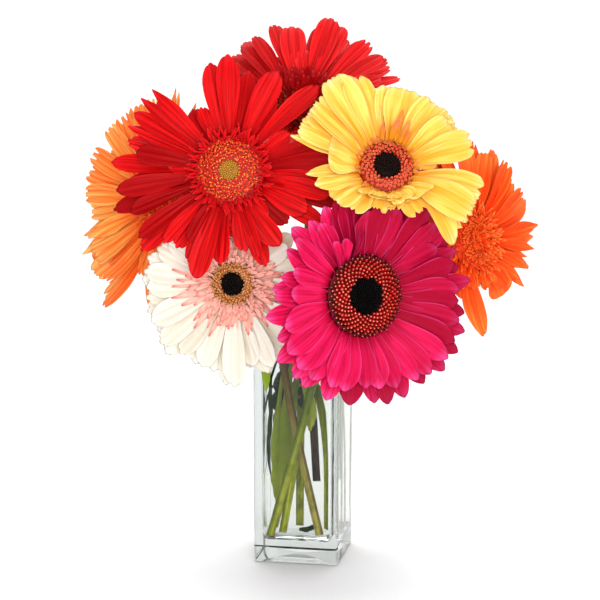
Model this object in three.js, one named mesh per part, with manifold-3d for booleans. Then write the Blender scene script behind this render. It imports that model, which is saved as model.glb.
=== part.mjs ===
// Seven gerbera daisies standing in a tall, square, clear glass vase with water in it.
//
// Units are millimetres and +Z is up. The origin is the middle of the vase's underside, so the
// vase stands on the plane z = 0 with its four sides parallel to X and Y. The flowers face mostly
// towards -Y. Each flower is its own set of pieces: stem, calyx, two whorls of petals, the short
// petals round the middle (trans florets), the ring of small tube florets and the closed eye.

import * as THREE from 'three';
import { mergeVertices } from 'three/addons/utils/BufferGeometryUtils.js';
import Module from 'manifold-3d';

const wasm = await Module();
wasm.setup();

// ---------------------------------------------------------------- driving dimensions

const GAP = 0.3;                    // clearance between pieces that touch

const VASE = {
  width: 48,                        // outside, across the flats
  height: 126,
  wall: 4.2,
  base: 12,                         // thick, heavy foot
  corner: 1.6,                      // outside corner radius
  insideCorner: 3,
  insideFillet: 2.4,                // between the walls and the inside floor
  edge: 0.8,                        // polished rim and foot edges
};

const WATER_LEVEL = 118;            // filled to just under the rim

const STEM = {
  radius: 2.3,
  straight: 7,                      // how far it runs straight behind the calyx
  sides: 8,
  steps: 14,
};

// A leaf blade's width, from its foot to its tip, as shares of its full width.
const LEAF_OUTLINE = [0.25, 0.75, 1, 0.8, 0.45, 0.12];

// A petal's width at its root, and at shares of its length, as shares of its full width.
const PETAL = { thickness: 0.9, root: 0.36, stations: [[0.4, 0.84], [0.82, 1], [1, 0.36]] };

// The inner whorl of petals stands up more than the outer one, bends less and is narrower.
const INNER_WHORL = { steeper: 7, straighter: 2, narrower: 0.92 };

const CALYX = {
  depth: 13,
  neck: 2.7,                        // radius where it meets the stem
  throat: 5.1,                      // radius where the cup begins
  throatDepth: 9.5,
  cup: 0.72,                        // radius of the cup's shoulder, as a share of the hub's
  cupDepth: 5,
  margin: 1.2,                      // how far the hub stands out beyond the cup's edge
};

const HUB = { width: 5, thickness: 1.1, margin: 1 };

const TRANS = { shortest: 0.8, thickness: 0.9, steeper: 12 };

const FLORETS = { teeth: 12, toothDepth: 1.4, height: 3.4, margin: 0.8 };

const EYE = { height: 3.06, side: 1.6, shoulder: 0.7, shoulderDrop: 0.3 };

// ---------------------------------------------------------------- small helpers

const radians = THREE.MathUtils.degToRad;

/** A repeatable number between -1 and 1 for each whole number n, for natural unevenness. */
function scatter(n) {
  const wave = Math.sin(n * 12.9898 + 4.1) * 437.5853;
  return 2 * (wave - Math.floor(wave)) - 1;
}

/**
 * Petals spread evenly round a head, each as [clock angle, reach]. `set` gives the petals with
 * these numbers a reach, width, rise and bend of their own.
 */
function ring(count, first, reach, set = {}) {
  return Array.from({ length: count }, (_, i) => {
    const angle = first + (360 * i) / count + 3 * scatter(i + count);
    return [angle, ...(set[i] ?? [reach * (1 + 0.04 * scatter(i + 2 * count))])];
  });
}

/** A manifold-3d solid from a closed three.js geometry. */
function toSolid(geometry) {
  const bare = geometry.clone();
  bare.deleteAttribute('normal');
  bare.deleteAttribute('uv');
  const merged = mergeVertices(bare, 1e-4);
  return new wasm.Manifold(new wasm.Mesh({
    numProp: 3,
    vertProperties: new Float32Array(merged.attributes.position.array),
    triVerts: new Uint32Array(merged.index.array),
  }));
}

/** A three.js geometry from a manifold-3d solid. */
function toGeometry(solid) {
  const mesh = solid.getMesh();
  const geometry = new THREE.BufferGeometry();
  geometry.setAttribute('position', new THREE.BufferAttribute(mesh.vertProperties, 3));
  geometry.setIndex(new THREE.BufferAttribute(mesh.triVerts, 1));
  geometry.computeVertexNormals();
  return geometry;
}

/** A closed body through a row of rings that all have the same number of points. */
function loft(rings) {
  const size = rings[0].length;
  const points = rings.flat();
  const faces = [];
  for (let i = 0; i < rings.length - 1; i += 1) {
    for (let j = 0; j < size; j += 1) {
      const a = i * size + j;
      const b = i * size + ((j + 1) % size);
      faces.push(a, b, b + size, a, b + size, a + size);
    }
  }
  const last = (rings.length - 1) * size;
  for (let j = 1; j < size - 1; j += 1) {
    faces.push(0, j + 1, j, last, last + j, last + j + 1);
  }
  const geometry = new THREE.BufferGeometry().setFromPoints(points);
  geometry.setIndex(faces);
  geometry.computeVertexNormals();
  return geometry;
}

/** A solid of revolution about Z through [radius, height] pairs. */
function turned(profile, segments) {
  const points = profile.map(([r, z]) => new THREE.Vector2(r, z));
  return new THREE.LatheGeometry(points, segments).rotateX(Math.PI / 2);
}

/** A toothed ring about Z. `outer` gives [radius, low, high] of a tooth and of a notch. */
function crown(teeth, inner, low, high, outer) {
  const count = 2 * teeth;
  const loop = (place) => Array.from({ length: count }, (_, i) => {
    const turn = (2 * Math.PI * i) / count;
    const [radius, z] = place(i % 2);
    return new THREE.Vector3(radius * Math.cos(turn), radius * Math.sin(turn), z);
  });
  const loops = [
    loop(() => [inner, low]),
    loop((k) => [outer[k][0], outer[k][1]]),
    loop((k) => [outer[k][0], outer[k][2]]),
    loop(() => [inner, high]),
  ];
  const points = loops.flat();
  const faces = [];
  for (let i = 0; i < loops.length; i += 1) {
    const next = (i + 1) % loops.length;
    for (let j = 0; j < count; j += 1) {
      const a = i * count + j;
      const b = i * count + ((j + 1) % count);
      const c = next * count + ((j + 1) % count);
      const d = next * count + j;
      faces.push(a, b, c, a, c, d);
    }
  }
  const geometry = new THREE.BufferGeometry().setFromPoints(points);
  geometry.setIndex(faces);
  geometry.computeVertexNormals();
  return geometry;
}

/** A square with rounded corners, as a shape in the XY plane. */
function roundedSquare(width, radius) {
  const h = width / 2;
  const shape = new THREE.Shape();
  shape.moveTo(-h + radius, -h);
  shape.lineTo(h - radius, -h);
  shape.absarc(h - radius, -h + radius, radius, -Math.PI / 2, 0);
  shape.lineTo(h, h - radius);
  shape.absarc(h - radius, h - radius, radius, 0, Math.PI / 2);
  shape.lineTo(-h + radius, h);
  shape.absarc(-h + radius, h - radius, radius, Math.PI / 2, Math.PI);
  shape.lineTo(-h, -h + radius);
  shape.absarc(-h + radius, -h + radius, radius, Math.PI, 1.5 * Math.PI);
  return shape;
}

/** A named mesh with a plain finish. */
function part(name, geometry, finish) {
  const mesh = new THREE.Mesh(geometry, new THREE.MeshStandardMaterial(finish));
  mesh.name = name;
  return mesh;
}

// ---------------------------------------------------------------- finishes

const GLASS = { color: '#e9efee', roughness: 0.03, metalness: 0, transparent: true, opacity: 0.35 };
const WATER = { color: '#e4eeea', roughness: 0.02, metalness: 0, transparent: true, opacity: 0.3 };
const STALK = { color: '#7f9a3c', roughness: 0.55, metalness: 0 };
const BRACTS = { color: '#5f7d33', roughness: 0.7, metalness: 0 };
const LEAF = { color: '#4d6b24', roughness: 0.5, metalness: 0 };

/** The soft, slightly satin finish of a petal or floret in one colour. */
const satin = (color) => ({ color, roughness: 0.5, metalness: 0 });

// ---------------------------------------------------------------- vase and water

/** A rounded square prism standing on z = low, with both ends softened. */
function block(width, corner, low, high, edge, edgeSteps) {
  const solid = new THREE.ExtrudeGeometry(roundedSquare(width - 2 * edge, corner), {
    depth: high - low - 2 * edge,
    bevelThickness: edge,
    bevelSize: edge,
    bevelSegments: edgeSteps,
    curveSegments: 3,
  });
  return solid.translate(0, 0, low + edge);
}

/** The glass: a square block with a deep, round-cornered hollow. */
function vaseGeometry() {
  const inside = VASE.width - 2 * VASE.wall;
  const outer = block(VASE.width, VASE.corner, 0, VASE.height, VASE.edge, 2);
  const above = VASE.height + 2 * VASE.insideFillet;
  const hollow = block(inside, VASE.insideCorner, VASE.base, above, VASE.insideFillet, 3);
  return toGeometry(toSolid(outer).subtract(toSolid(hollow)));
}

/** The water: the hollow up to the water level, less everything that stands in it. */
function waterGeometry(standing) {
  const inside = VASE.width - 2 * VASE.wall - 2 * GAP;
  const low = VASE.base + GAP;
  const body = block(inside, VASE.insideCorner, low, WATER_LEVEL + VASE.insideFillet,
    VASE.insideFillet, 2);
  const lid = new THREE.BoxGeometry(VASE.width, VASE.width, VASE.height)
    .translate(0, 0, WATER_LEVEL + VASE.height / 2);
  let water = toSolid(body).subtract(toSolid(lid));
  for (const geometry of standing) {
    water = water.subtract(toSolid(geometry));
  }
  const largest = water.decompose().sort((a, b) => b.volume() - a.volume())[0];
  return toGeometry(largest);
}

// ---------------------------------------------------------------- stems and leaves

/** A round stem of one thickness along a smooth curve through hand-placed points. */
function stemGeometry(points, radius) {
  const curve = new THREE.CatmullRomCurve3(points, false, 'centripetal');
  const outline = Array.from({ length: STEM.sides }, (_, i) => {
    const turn = (2 * Math.PI * i) / STEM.sides;
    return new THREE.Vector2(radius * Math.cos(turn), radius * Math.sin(turn));
  });
  return new THREE.ExtrudeGeometry(new THREE.Shape(outline), {
    steps: STEM.steps,
    extrudePath: curve,
    bevelEnabled: false,
  });
}

/** A leaf blade: a thin pointed plate along points, `across` being its width direction. */
function leafGeometry(points, across, width, thickness) {
  const curve = new THREE.CatmullRomCurve3(points.map((p) => new THREE.Vector3(...p)));
  const side = new THREE.Vector3(...across).normalize();
  const rings = LEAF_OUTLINE.map((share, i) => {
    const t = i / (LEAF_OUTLINE.length - 1);
    const middle = curve.getPoint(t);
    const up = new THREE.Vector3().crossVectors(side, curve.getTangent(t)).normalize();
    const half = (width * share) / 2;
    const lift = thickness / 2;
    return [[-half, -lift], [-half, lift], [half, lift], [half, -lift]].map(([x, y]) =>
      middle.clone().addScaledVector(side, x).addScaledVector(up, y));
  });
  return loft(rings);
}

// ---------------------------------------------------------------- flower heads
// Everything below is drawn in the head's own frame: the middle of the petals' root is the
// origin, +Z is the way the flower faces, +X is to the right for someone facing the flower.

/**
 * The corners of one petal after its root, station by station. It is a thin plate that leaves
 * the hub at `rise` degrees and has bent back by `bend` degrees at its tip.
 */
function petalRings(angle, start, reach, width, rise, bend, height) {
  const turn = radians(angle);
  const out = new THREE.Vector3(Math.cos(turn), Math.sin(turn), 0);
  const side = new THREE.Vector3(-out.y, out.x, 0);
  const axis = new THREE.Vector3(0, 0, 1);
  const length = reach - start;
  const middle = out.clone().multiplyScalar(start).addScaledVector(axis, height);
  let before = 0;
  return PETAL.stations.map(([t, share]) => {
    const slope = radians(rise - (bend * (t + before)) / 2);
    const step = length * (t - before);
    middle.addScaledVector(out, step * Math.cos(slope));
    middle.addScaledVector(axis, step * Math.sin(slope));
    before = t;
    const here = radians(rise - bend * t);
    const up = axis.clone().multiplyScalar(Math.cos(here)).addScaledVector(out, -Math.sin(here));
    const half = (width * share) / 2;
    const lift = PETAL.thickness / 2;
    return [[-half, -lift], [half, -lift], [half, lift], [-half, lift]].map(([x, z]) =>
      middle.clone().addScaledVector(side, x).addScaledVector(up, z));
  });
}

/** A whorl: a flat ring with the petals growing out of its edge, all one body. */
function whorlGeometry(petals, whorl, hubRadius) {
  const low = whorl.low;
  const high = low + HUB.thickness;
  const at = (radius, turn, z) =>
    new THREE.Vector3(radius * Math.cos(turn), radius * Math.sin(turn), z);
  const points = [];
  const faces = [];
  const quad = (a, b, c, d) => faces.push(a, b, c, a, c, d);
  const half = (PETAL.root * whorl.width) / 2 / hubRadius;
  const sorted = petals.map(([angle, ...rest]) => [((angle % 360) + 360) % 360, ...rest])
    .sort((a, b) => a[0] - b[0]);
  const corners = sorted.flatMap(([angle]) => [radians(angle) - half, radians(angle) + half]);
  for (const turn of corners) {
    const inner = hubRadius - HUB.width;
    points.push(at(inner, turn, low), at(hubRadius, turn, low), at(hubRadius, turn, high),
      at(inner, turn, high));
  }
  corners.forEach((_, i) => {
    const a = 4 * i;
    const b = 4 * ((i + 1) % corners.length);
    quad(a, b, b + 1, a + 1);
    quad(a + 2, b + 2, b + 3, a + 3);
    quad(a + 3, b + 3, b, a);
    if (i % 2) {
      quad(a + 1, b + 1, b + 2, a + 2);
    }
  });
  sorted.forEach((petal, i) => {
    const [angle, reach, width = whorl.width, rise = whorl.rise, bend = whorl.bend] = petal;
    const middle = (low + high) / 2;
    let root = [8 * i + 1, 8 * i + 5, 8 * i + 6, 8 * i + 2];
    for (const corner of petalRings(angle, hubRadius, reach, width, rise, bend, middle)) {
      const next = corner.map((_, j) => points.length + j);
      points.push(...corner);
      next.forEach((n, j) => {
        const k = (j + 1) % 4;
        quad(root[j], root[k], next[k], n);
      });
      root = next;
    }
    quad(...root);
  });
  const geometry = new THREE.BufferGeometry().setFromPoints(points);
  geometry.setIndex(faces);
  geometry.computeVertexNormals();
  return geometry;
}

/** The height of the trans florets' underside at a radius: a shallow cone from its inner edge. */
function transHeight(level, radius) {
  return level.trans + (radius - level.pad) * Math.tan(radians(level.transRise));
}

/** The short petals round the middle, as one toothed ring that rises to its tips. */
function transGeometry(flower, level) {
  const inner = level.pad + GAP;
  const edge = [1, TRANS.shortest].map((share) => {
    const radius = inner + (flower.trans - inner) * share;
    const z = transHeight(level, radius);
    return [radius, z, z + TRANS.thickness];
  });
  const low = transHeight(level, inner);
  return crown(flower.transCount, inner, low, low + TRANS.thickness, edge);
}

/** The green cup under the petals, and the round pad inside it that carries the florets. */
function calyxGeometry(level) {
  const low = -GAP;
  return turned([[0, -CALYX.depth], [CALYX.neck, -CALYX.depth],
    [CALYX.throat, -CALYX.throatDepth], [level.hub * CALYX.cup, -CALYX.cupDepth],
    [level.hub - CALYX.margin, low], [level.pad, low], [level.pad, level.padTop],
    [0, level.padTop]], 12);
}

/** The ring of tube florets: a thick crown with a toothed edge, resting on the trans florets. */
function floretGeometry(flower, level) {
  const reach = flower.disc - FLORETS.margin;
  const edge = [reach, reach - FLORETS.toothDepth].map((radius) => {
    const low = transHeight(level, radius) + TRANS.thickness + GAP;
    return [radius, low, low + FLORETS.height];
  });
  const low = level.padTop + GAP;
  return crown(FLORETS.teeth, flower.eye + GAP, low, low + FLORETS.height, edge);
}

/** The closed buds in the very middle: a low dome. */
function eyeGeometry(radius, low) {
  const top = low + EYE.height;
  return turned([[0, low], [radius, low], [radius, low + EYE.side],
    [radius * EYE.shoulder, top - EYE.shoulderDrop], [0, top]], 12);
}

/** The radii, levels and slopes of a head's pieces, from the hub up. */
function headLevels(flower) {
  const step = HUB.thickness + GAP;
  const hub = flower.disc + HUB.margin;
  const pad = hub - HUB.width - GAP;
  return {
    hub,
    outer: { low: 0, rise: flower.cup, bend: flower.bend, width: flower.petal },
    inner: {
      low: step,
      rise: flower.cup + INNER_WHORL.steeper,
      bend: flower.bend - INNER_WHORL.straighter,
      width: flower.petal * INNER_WHORL.narrower,
    },
    trans: 2 * step,
    transRise: flower.cup + TRANS.steeper,
    pad,
    padTop: 2 * step + TRANS.thickness,
  };
}

/** All pieces of one head in the head's own frame. */
function headMeshes(flower) {
  const level = headLevels(flower);
  const { name } = flower;
  return [
    part(`${name}_calyx`, calyxGeometry(level), BRACTS),
    part(`${name}_outer_petals`, whorlGeometry(flower.outer, level.outer, level.hub),
      satin(flower.color)),
    part(`${name}_inner_petals`, whorlGeometry(flower.inner, level.inner, level.hub),
      satin(flower.color)),
    part(`${name}_trans_florets`, transGeometry(flower, level), satin(flower.transColor)),
    part(`${name}_disc_florets`, floretGeometry(flower, level), satin(flower.discColor)),
    part(`${name}_disc_eye`, eyeGeometry(flower.eye, level.padTop + GAP),
      satin(flower.eyeColor)),
  ];
}

/** The way a flower faces: azimuth from -Y towards +X, and elevation above the horizontal. */
function facing({ azimuth, elevation }) {
  const a = radians(azimuth);
  const e = radians(elevation);
  return new THREE.Vector3(Math.sin(a) * Math.cos(e), -Math.cos(a) * Math.cos(e), Math.sin(e));
}

/** Sets a group down at the flower's place, turned the way the flower faces. */
function placeHead(group, flower) {
  const out = facing(flower);
  const a = radians(flower.azimuth);
  const right = new THREE.Vector3(Math.cos(a), Math.sin(a), 0);
  const up = new THREE.Vector3().crossVectors(out, right);
  group.quaternion.setFromRotationMatrix(new THREE.Matrix4().makeBasis(right, up, out));
  group.position.set(...flower.at);
}

/** The stem's curve: straight out of the calyx, then through its own points to the cut end. */
function stemPoints(flower) {
  const out = facing(flower);
  const head = new THREE.Vector3(...flower.at);
  const top = head.clone().addScaledVector(out, -(CALYX.depth + GAP));
  const behind = head.clone().addScaledVector(out, -(CALYX.depth + STEM.straight));
  return [top, behind, ...flower.stem.map((p) => new THREE.Vector3(...p))];
}

// ---------------------------------------------------------------- the seven flowers
// at: middle of the head. cup and bend: slope of the petals at the root and how far they bend
// back. disc, eye, trans: radii. outer and inner: petals as [clock angle, reach, width, rise,
// bend], anticlockwise from the flower's right. stem: from behind the head down to the cut end.

const FLOWERS = [
  {
    name: 'red_front', at: [-30, -52, 225], azimuth: 4, elevation: 14,
    cup: 6, bend: 20, petal: 12, disc: 19, eye: 5.5, trans: 24, transCount: 20,
    color: '#c80a16', transColor: '#c81c16', discColor: '#b8401c', eyeColor: '#8f8428',
    outer: [[5, 57, 11], [24, 55], [50, 56], [80, 61], [96, 59], [113, 30, 8], [131, 63], [148, 62],
      [164, 65], [181, 67], [198, 66], [215, 64], [231, 56], [249, 63], [266, 57], [283, 55],
      [300, 53], [316, 54], [332, 56, 11], [347, 57, 11]],
    inner: [[-4, 49], [16, 57], [32, 53], [48, 65], [66, 61], [97, 59], [117, 27, 8], [138, 42],
      [153, 62], [170, 57], [188, 62], [206, 62], [224, 50], [253, 62], [271, 54], [288, 51],
      [306, 48], [323, 40], [339, 46]],
    stem: [[-33, -26, 213], [-27, -17, 196], [-14, -6, 158], [-1, -0.6, 126], [5.2, -0.6, 97],
      [9, 0, 43]],
  },
  {
    name: 'yellow', at: [54, -51, 228], azimuth: 15, elevation: 30,
    cup: 30, bend: 26, petal: 16, disc: 14.5, eye: 7, trans: 17, transCount: 14,
    color: '#f2d43a', transColor: '#e8a028', discColor: '#b8402c', eyeColor: '#2a120c',
    outer: ring(11, 8, 57, { 1: [50], 2: [50], 3: [52], 6: [48], 7: [40, 15, 40, 30],
      8: [34, 15, 46, 30], 9: [40, 15, 40, 30], 10: [60] }),
    inner: ring(10, 24, 54, { 0: [50], 1: [47], 2: [50], 5: [44], 6: [38, 14, 48, 30],
      7: [34, 14, 52, 30], 8: [44, 14, 47, 30] }),
    stem: [[44, -19, 206], [34, -10, 180], [20, -6, 142], [14, -6, 122], [3, -6, 84],
      [-10, -6, 13.3]],
  },
  {
    name: 'magenta', at: [42, -58, 161], azimuth: 39, elevation: 6,
    cup: 22, bend: 18, petal: 11.5, disc: 22, eye: 9.5, trans: 25, transCount: 20,
    color: '#d01560', transColor: '#a00c34', discColor: '#7c1020', eyeColor: '#120a0c',
    outer: ring(18, 10, 61, { 2: [58, 11, 16, 16], 3: [54, 11, 10, 14], 4: [50, 11, 6, 10],
      5: [52, 11, 10, 14], 6: [58, 11, 16, 16], 10: [57], 11: [57], 12: [58] }),
    inner: ring(17, 0, 57, { 3: [50, 11, 20, 14], 4: [46, 10, 15, 10], 5: [50, 11, 20, 14],
      9: [53], 10: [54] }),
    stem: [[23, -33, 155], [16, -22, 138], [12.4, -15.3, 124], [6, -16.4, 92],
      [-15.7, -16.2, 13.3]],
  },
  {
    name: 'white', at: [-30, -42, 163], azimuth: -3, elevation: 0,
    cup: 12, bend: 14, petal: 12, disc: 13, eye: 6, trans: 27, transCount: 20,
    color: '#f0eadc', transColor: '#eeb4aa', discColor: '#c08a70', eyeColor: '#20120e',
    outer: ring(15, 12, 54, { 2: [42], 3: [38], 4: [40], 5: [42] }),
    inner: ring(15, 0, 50, { 2: [40], 3: [36], 4: [36], 5: [40] }),
    stem: [[-27, -20, 156], [-19, -14, 139], [-11, -12, 122], [-4.5, -11.4, 88], [2, -11.2, 58],
      [12, -9, 13.4]],
  },
  {
    name: 'orange_right', at: [91, 20, 179], azimuth: 56, elevation: 14,
    cup: 6, bend: 16, petal: 11.5, disc: 17, eye: 5.5, trans: 24, transCount: 16,
    color: '#e8561a', transColor: '#e8661e', discColor: '#e8701c', eyeColor: '#a04814',
    outer: ring(16, 10, 57, { 6: [40, 12, -10], 7: [40, 12, -10], 8: [40, 12, -10],
      9: [44, 12, -10], 10: [46, 12, -4], 13: [49], 14: [46], 15: [49] }),
    inner: ring(15, 0, 54, { 6: [38, 11, -3], 7: [38, 11, -3], 8: [38, 11, -3],
      9: [42, 11, 0], 12: [46], 13: [44], 14: [47] }),
    stem: [[70, 30, 171], [48, 28, 156], [24, 17, 137], [14.6, 11.5, 122], [2, 10.6, 84],
      [-16.8, 6, 13.6]],
  },
  {
    name: 'orange_left', at: [-77, -8, 202], azimuth: -31, elevation: 8,
    cup: 6, bend: 18, petal: 12, disc: 17, eye: 5.5, trans: 24, transCount: 16,
    color: '#f0822a', transColor: '#e8661e', discColor: '#d8821c', eyeColor: '#a8782a',
    outer: ring(17, 12, 60, { 0: [40, 12, -10], 1: [40, 12, -4], 2: [46], 3: [50], 4: [54],
      13: [52, 12, 0], 14: [44, 12, -4], 15: [38, 12, -10], 16: [38, 12, -10] }),
    inner: ring(16, 0, 56, { 0: [38, 11, -1], 1: [38, 11, 6], 2: [44], 3: [50],
      13: [44, 11, 9], 14: [38, 11, 4], 15: [36, 11, -1] }),
    stem: [[-58, 12, 192], [-34, 12, 164], [-12, 6.5, 136], [-1, 5, 120], [9, 5.6, 92],
      [13.6, 8, 60], [14.2, 9, 13.2]],
  },
  {
    name: 'red_back', at: [-4, 14, 253], azimuth: 11, elevation: 50,
    cup: 16, bend: 18, petal: 12, disc: 17, eye: 5.5, trans: 24, transCount: 16,
    color: '#b80c12', transColor: '#a00c10', discColor: '#a8381a', eyeColor: '#7c6420',
    outer: ring(15, 8, 56),
    inner: ring(14, 20, 52),
    stem: [[-4, 31, 226], [-3, 31, 190], [-2, 22, 145], [-1.5, 16.2, 122], [-2.5, 16.2, 80],
      [-3, 16, 13.2]],
  },
];

// Leaves: a fresh one that hangs over the rim at the front, a broad one that reaches down among
// the stems, a dark one behind them and a fallen scrap on the glass floor. `sink` lowers a
// leaf's space in the water, so that no water is left under the fallen one.
const LEAVES = [
  { name: 'leaf_fresh', width: 7, thickness: 0.8, across: [0.95, 0.1, 0.2],
    points: [[-10, -12, 129.5], [-12.5, -18, 131], [-14.5, -23.5, 129], [-15.6, -26.6, 121],
      [-15.8, -27, 110], [-16, -26.8, 99]] },
  { name: 'leaf_broad', width: 12, thickness: 0.8, across: [0.95, 0.2, 0],
    points: [[-4.8, -3, 125], [-8, -2.6, 104], [-11.2, -1.6, 78], [-12.6, -1, 54],
      [-13.2, -0.8, 30]] },
  { name: 'leaf_dark', width: 11, thickness: 0.8, across: [1, 0.2, 0],
    points: [[-6.2, 8, 123], [-10, 10, 105], [-12.4, 10.8, 88], [-13.2, 11, 72],
      [-13.8, 11, 58]] },
  { name: 'leaf_fallen', width: 7, thickness: 0.8, across: [0.4, 1, 0], sink: 1,
    points: [[-1, 3, 12.7], [3, 2, 12.7], [7, 1, 12.7], [10, 0, 12.7]] },
];

// ---------------------------------------------------------------- assembly

const gerberas = new THREE.Group();
const inWater = [];

for (const flower of FLOWERS) {
  const points = stemPoints(flower);
  gerberas.add(part(`${flower.name}_stem`, stemGeometry(points, STEM.radius), STALK));
  inWater.push(stemGeometry(points, STEM.radius + GAP));
  const head = new THREE.Group();
  head.add(...headMeshes(flower));
  placeHead(head, flower);
  gerberas.add(head);
}

for (const { name, points, across, width, thickness, sink = 0 } of LEAVES) {
  gerberas.add(part(name, leafGeometry(points, across, width, thickness), LEAF));
  const cut = leafGeometry(points, across, width + 2 * GAP, thickness + 2 * GAP + 2 * sink);
  inWater.push(cut.translate(0, 0, -sink));
}

gerberas.add(part('vase', vaseGeometry(), GLASS));
gerberas.add(part('water', waterGeometry(inWater), WATER));

export default gerberas;
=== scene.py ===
"""Dresses seven gerberas that stand in a square glass vase of water.

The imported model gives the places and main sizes: where each head sits and which way it faces, the
radii of its disc, the vase and the leaves. Lengths in this file are millimetres and angles are
degrees, until a piece becomes a Blender object, which is in metres like the frame.
"""
import logging
import math
from dataclasses import dataclass, field, replace
from enum import Enum
from functools import cached_property
from typing import Any

import bpy
import numpy as np
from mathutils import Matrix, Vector


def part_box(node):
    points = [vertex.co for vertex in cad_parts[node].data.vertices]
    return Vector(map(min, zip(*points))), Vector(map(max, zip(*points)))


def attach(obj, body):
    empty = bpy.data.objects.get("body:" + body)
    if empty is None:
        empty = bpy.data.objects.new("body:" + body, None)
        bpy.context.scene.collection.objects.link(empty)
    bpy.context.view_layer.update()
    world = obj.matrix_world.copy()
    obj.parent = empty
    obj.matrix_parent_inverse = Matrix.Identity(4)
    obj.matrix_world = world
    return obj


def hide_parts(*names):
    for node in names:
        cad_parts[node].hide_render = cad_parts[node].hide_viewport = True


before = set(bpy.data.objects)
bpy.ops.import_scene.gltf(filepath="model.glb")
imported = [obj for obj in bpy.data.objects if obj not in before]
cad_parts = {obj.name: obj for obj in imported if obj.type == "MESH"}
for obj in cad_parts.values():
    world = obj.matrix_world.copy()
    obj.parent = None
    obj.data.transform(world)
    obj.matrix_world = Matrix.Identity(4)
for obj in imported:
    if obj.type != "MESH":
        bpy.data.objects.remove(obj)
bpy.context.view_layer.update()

log = logging.getLogger("gerberas")

Place = tuple[float, float, float]
Body = tuple[np.ndarray, list[list[int]]]                   # points and faces
Sheet = tuple[np.ndarray, list[list[int]], np.ndarray]      # points, faces and marks
Skins = dict[str, bpy.types.Material]
Socket = bpy.types.NodeSocket
Generator = np.random.Generator

MM = 0.001
GOLDEN_ANGLE = 137.50776            # from one floret to the next in the spiral of a disc
SPAN_STEPS = 24                     # steps of a smooth path from one given point to the next


# ---------------- small helpers


def linear(hex_colour: str) -> tuple[float, float, float, float]:
    """Turns an sRGB colour into the linear one that shaders use.

    Args:
        hex_colour: The colour as six hex digits after a hash sign.

    Returns:
        Red, green, blue and a full alpha, each from 0 to 1.
    """
    channels = [int(hex_colour[i:i + 2], 16) / 255 for i in (1, 3, 5)]
    curve = [c / 12.92 if c <= 0.04045 else ((c + 0.055) / 1.055) ** 2.4 for c in channels]
    return (*curve, 1.0)


def ease(values: np.ndarray | float, low: float, high: float) -> np.ndarray:
    """Goes smoothly from 0 at `low` to 1 at `high`.

    Args:
        values: Where to read the curve.
        low: The value that gives 0.
        high: The value that gives 1.

    Returns:
        Shares from 0 to 1, in the shape of `values`.
    """
    share = np.clip((np.asarray(values, float) - low) / (high - low), 0, 1)
    return share * share * (3 - 2 * share)


def hill(values: np.ndarray, middle: float, width: float) -> np.ndarray:
    """Gives 1 at `middle`, and falls softly to nothing at about twice `width` from it."""
    return np.exp(-((values - middle) / width) ** 2)


def unit(vectors: np.ndarray) -> np.ndarray:
    """Gives the direction of a vector, or of each row, at length 1."""
    return vectors / np.linalg.norm(vectors, axis=-1, keepdims=True)


def clock(sides: int) -> np.ndarray:
    """Gives evenly spaced angles round a circle, in radians."""
    return np.linspace(0, 2 * math.pi, sides, endpoint=False)


def node_points(node: str) -> np.ndarray:
    """Reads the corners of a CAD node.

    Args:
        node: The node's name.

    Returns:
        The corners in millimetres, one a row.
    """
    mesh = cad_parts[node].data
    flat = np.empty(3 * len(mesh.vertices))
    mesh.vertices.foreach_get("co", flat)
    return flat.reshape(-1, 3) / MM


def smooth_path(points: list[Place], samples: int) -> np.ndarray:
    """Runs a centripetal Catmull-Rom curve through points, as the CAD stems do.

    Args:
        points: The points that the curve passes through.
        samples: How many points to give back.

    Returns:
        Points along the curve, evenly spaced in length.
    """
    knots = np.array(points, float)
    padded = np.vstack([2 * knots[0] - knots[1], knots, 2 * knots[-1] - knots[-2]])
    fine = []
    for i in range(len(knots) - 1):
        p = padded[i:i + 4]
        gaps = np.sqrt(np.linalg.norm(np.diff(p, axis=0), axis=1))
        t = np.concatenate([[0], np.cumsum(gaps)])
        for u in np.linspace(t[1], t[2], SPAN_STEPS, endpoint=False):
            a = [((t[k + 1] - u) * p[k] + (u - t[k]) * p[k + 1]) / (t[k + 1] - t[k]) for k in range(3)]
            b = [((t[k + 2] - u) * a[k] + (u - t[k]) * a[k + 1]) / (t[k + 2] - t[k]) for k in range(2)]
            fine.append(((t[2] - u) * b[0] + (u - t[1]) * b[1]) / (t[2] - t[1]))
    line = np.array([*fine, knots[-1]])
    run = np.concatenate([[0], np.cumsum(np.linalg.norm(np.diff(line, axis=0), axis=1))])
    even = np.linspace(0, run[-1], samples)
    return np.column_stack([np.interp(even, run, line[:, k]) for k in range(3)])


def put(name: str, data: bpy.types.ID) -> bpy.types.Object:
    """Makes an object and links it into the scene.

    Args:
        name: The object's name.
        data: Its mesh, lamp or camera.

    Returns:
        The object.
    """
    made = bpy.data.objects.new(name, data)
    bpy.context.scene.collection.objects.link(made)
    return made


# ---------------- meshes


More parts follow.
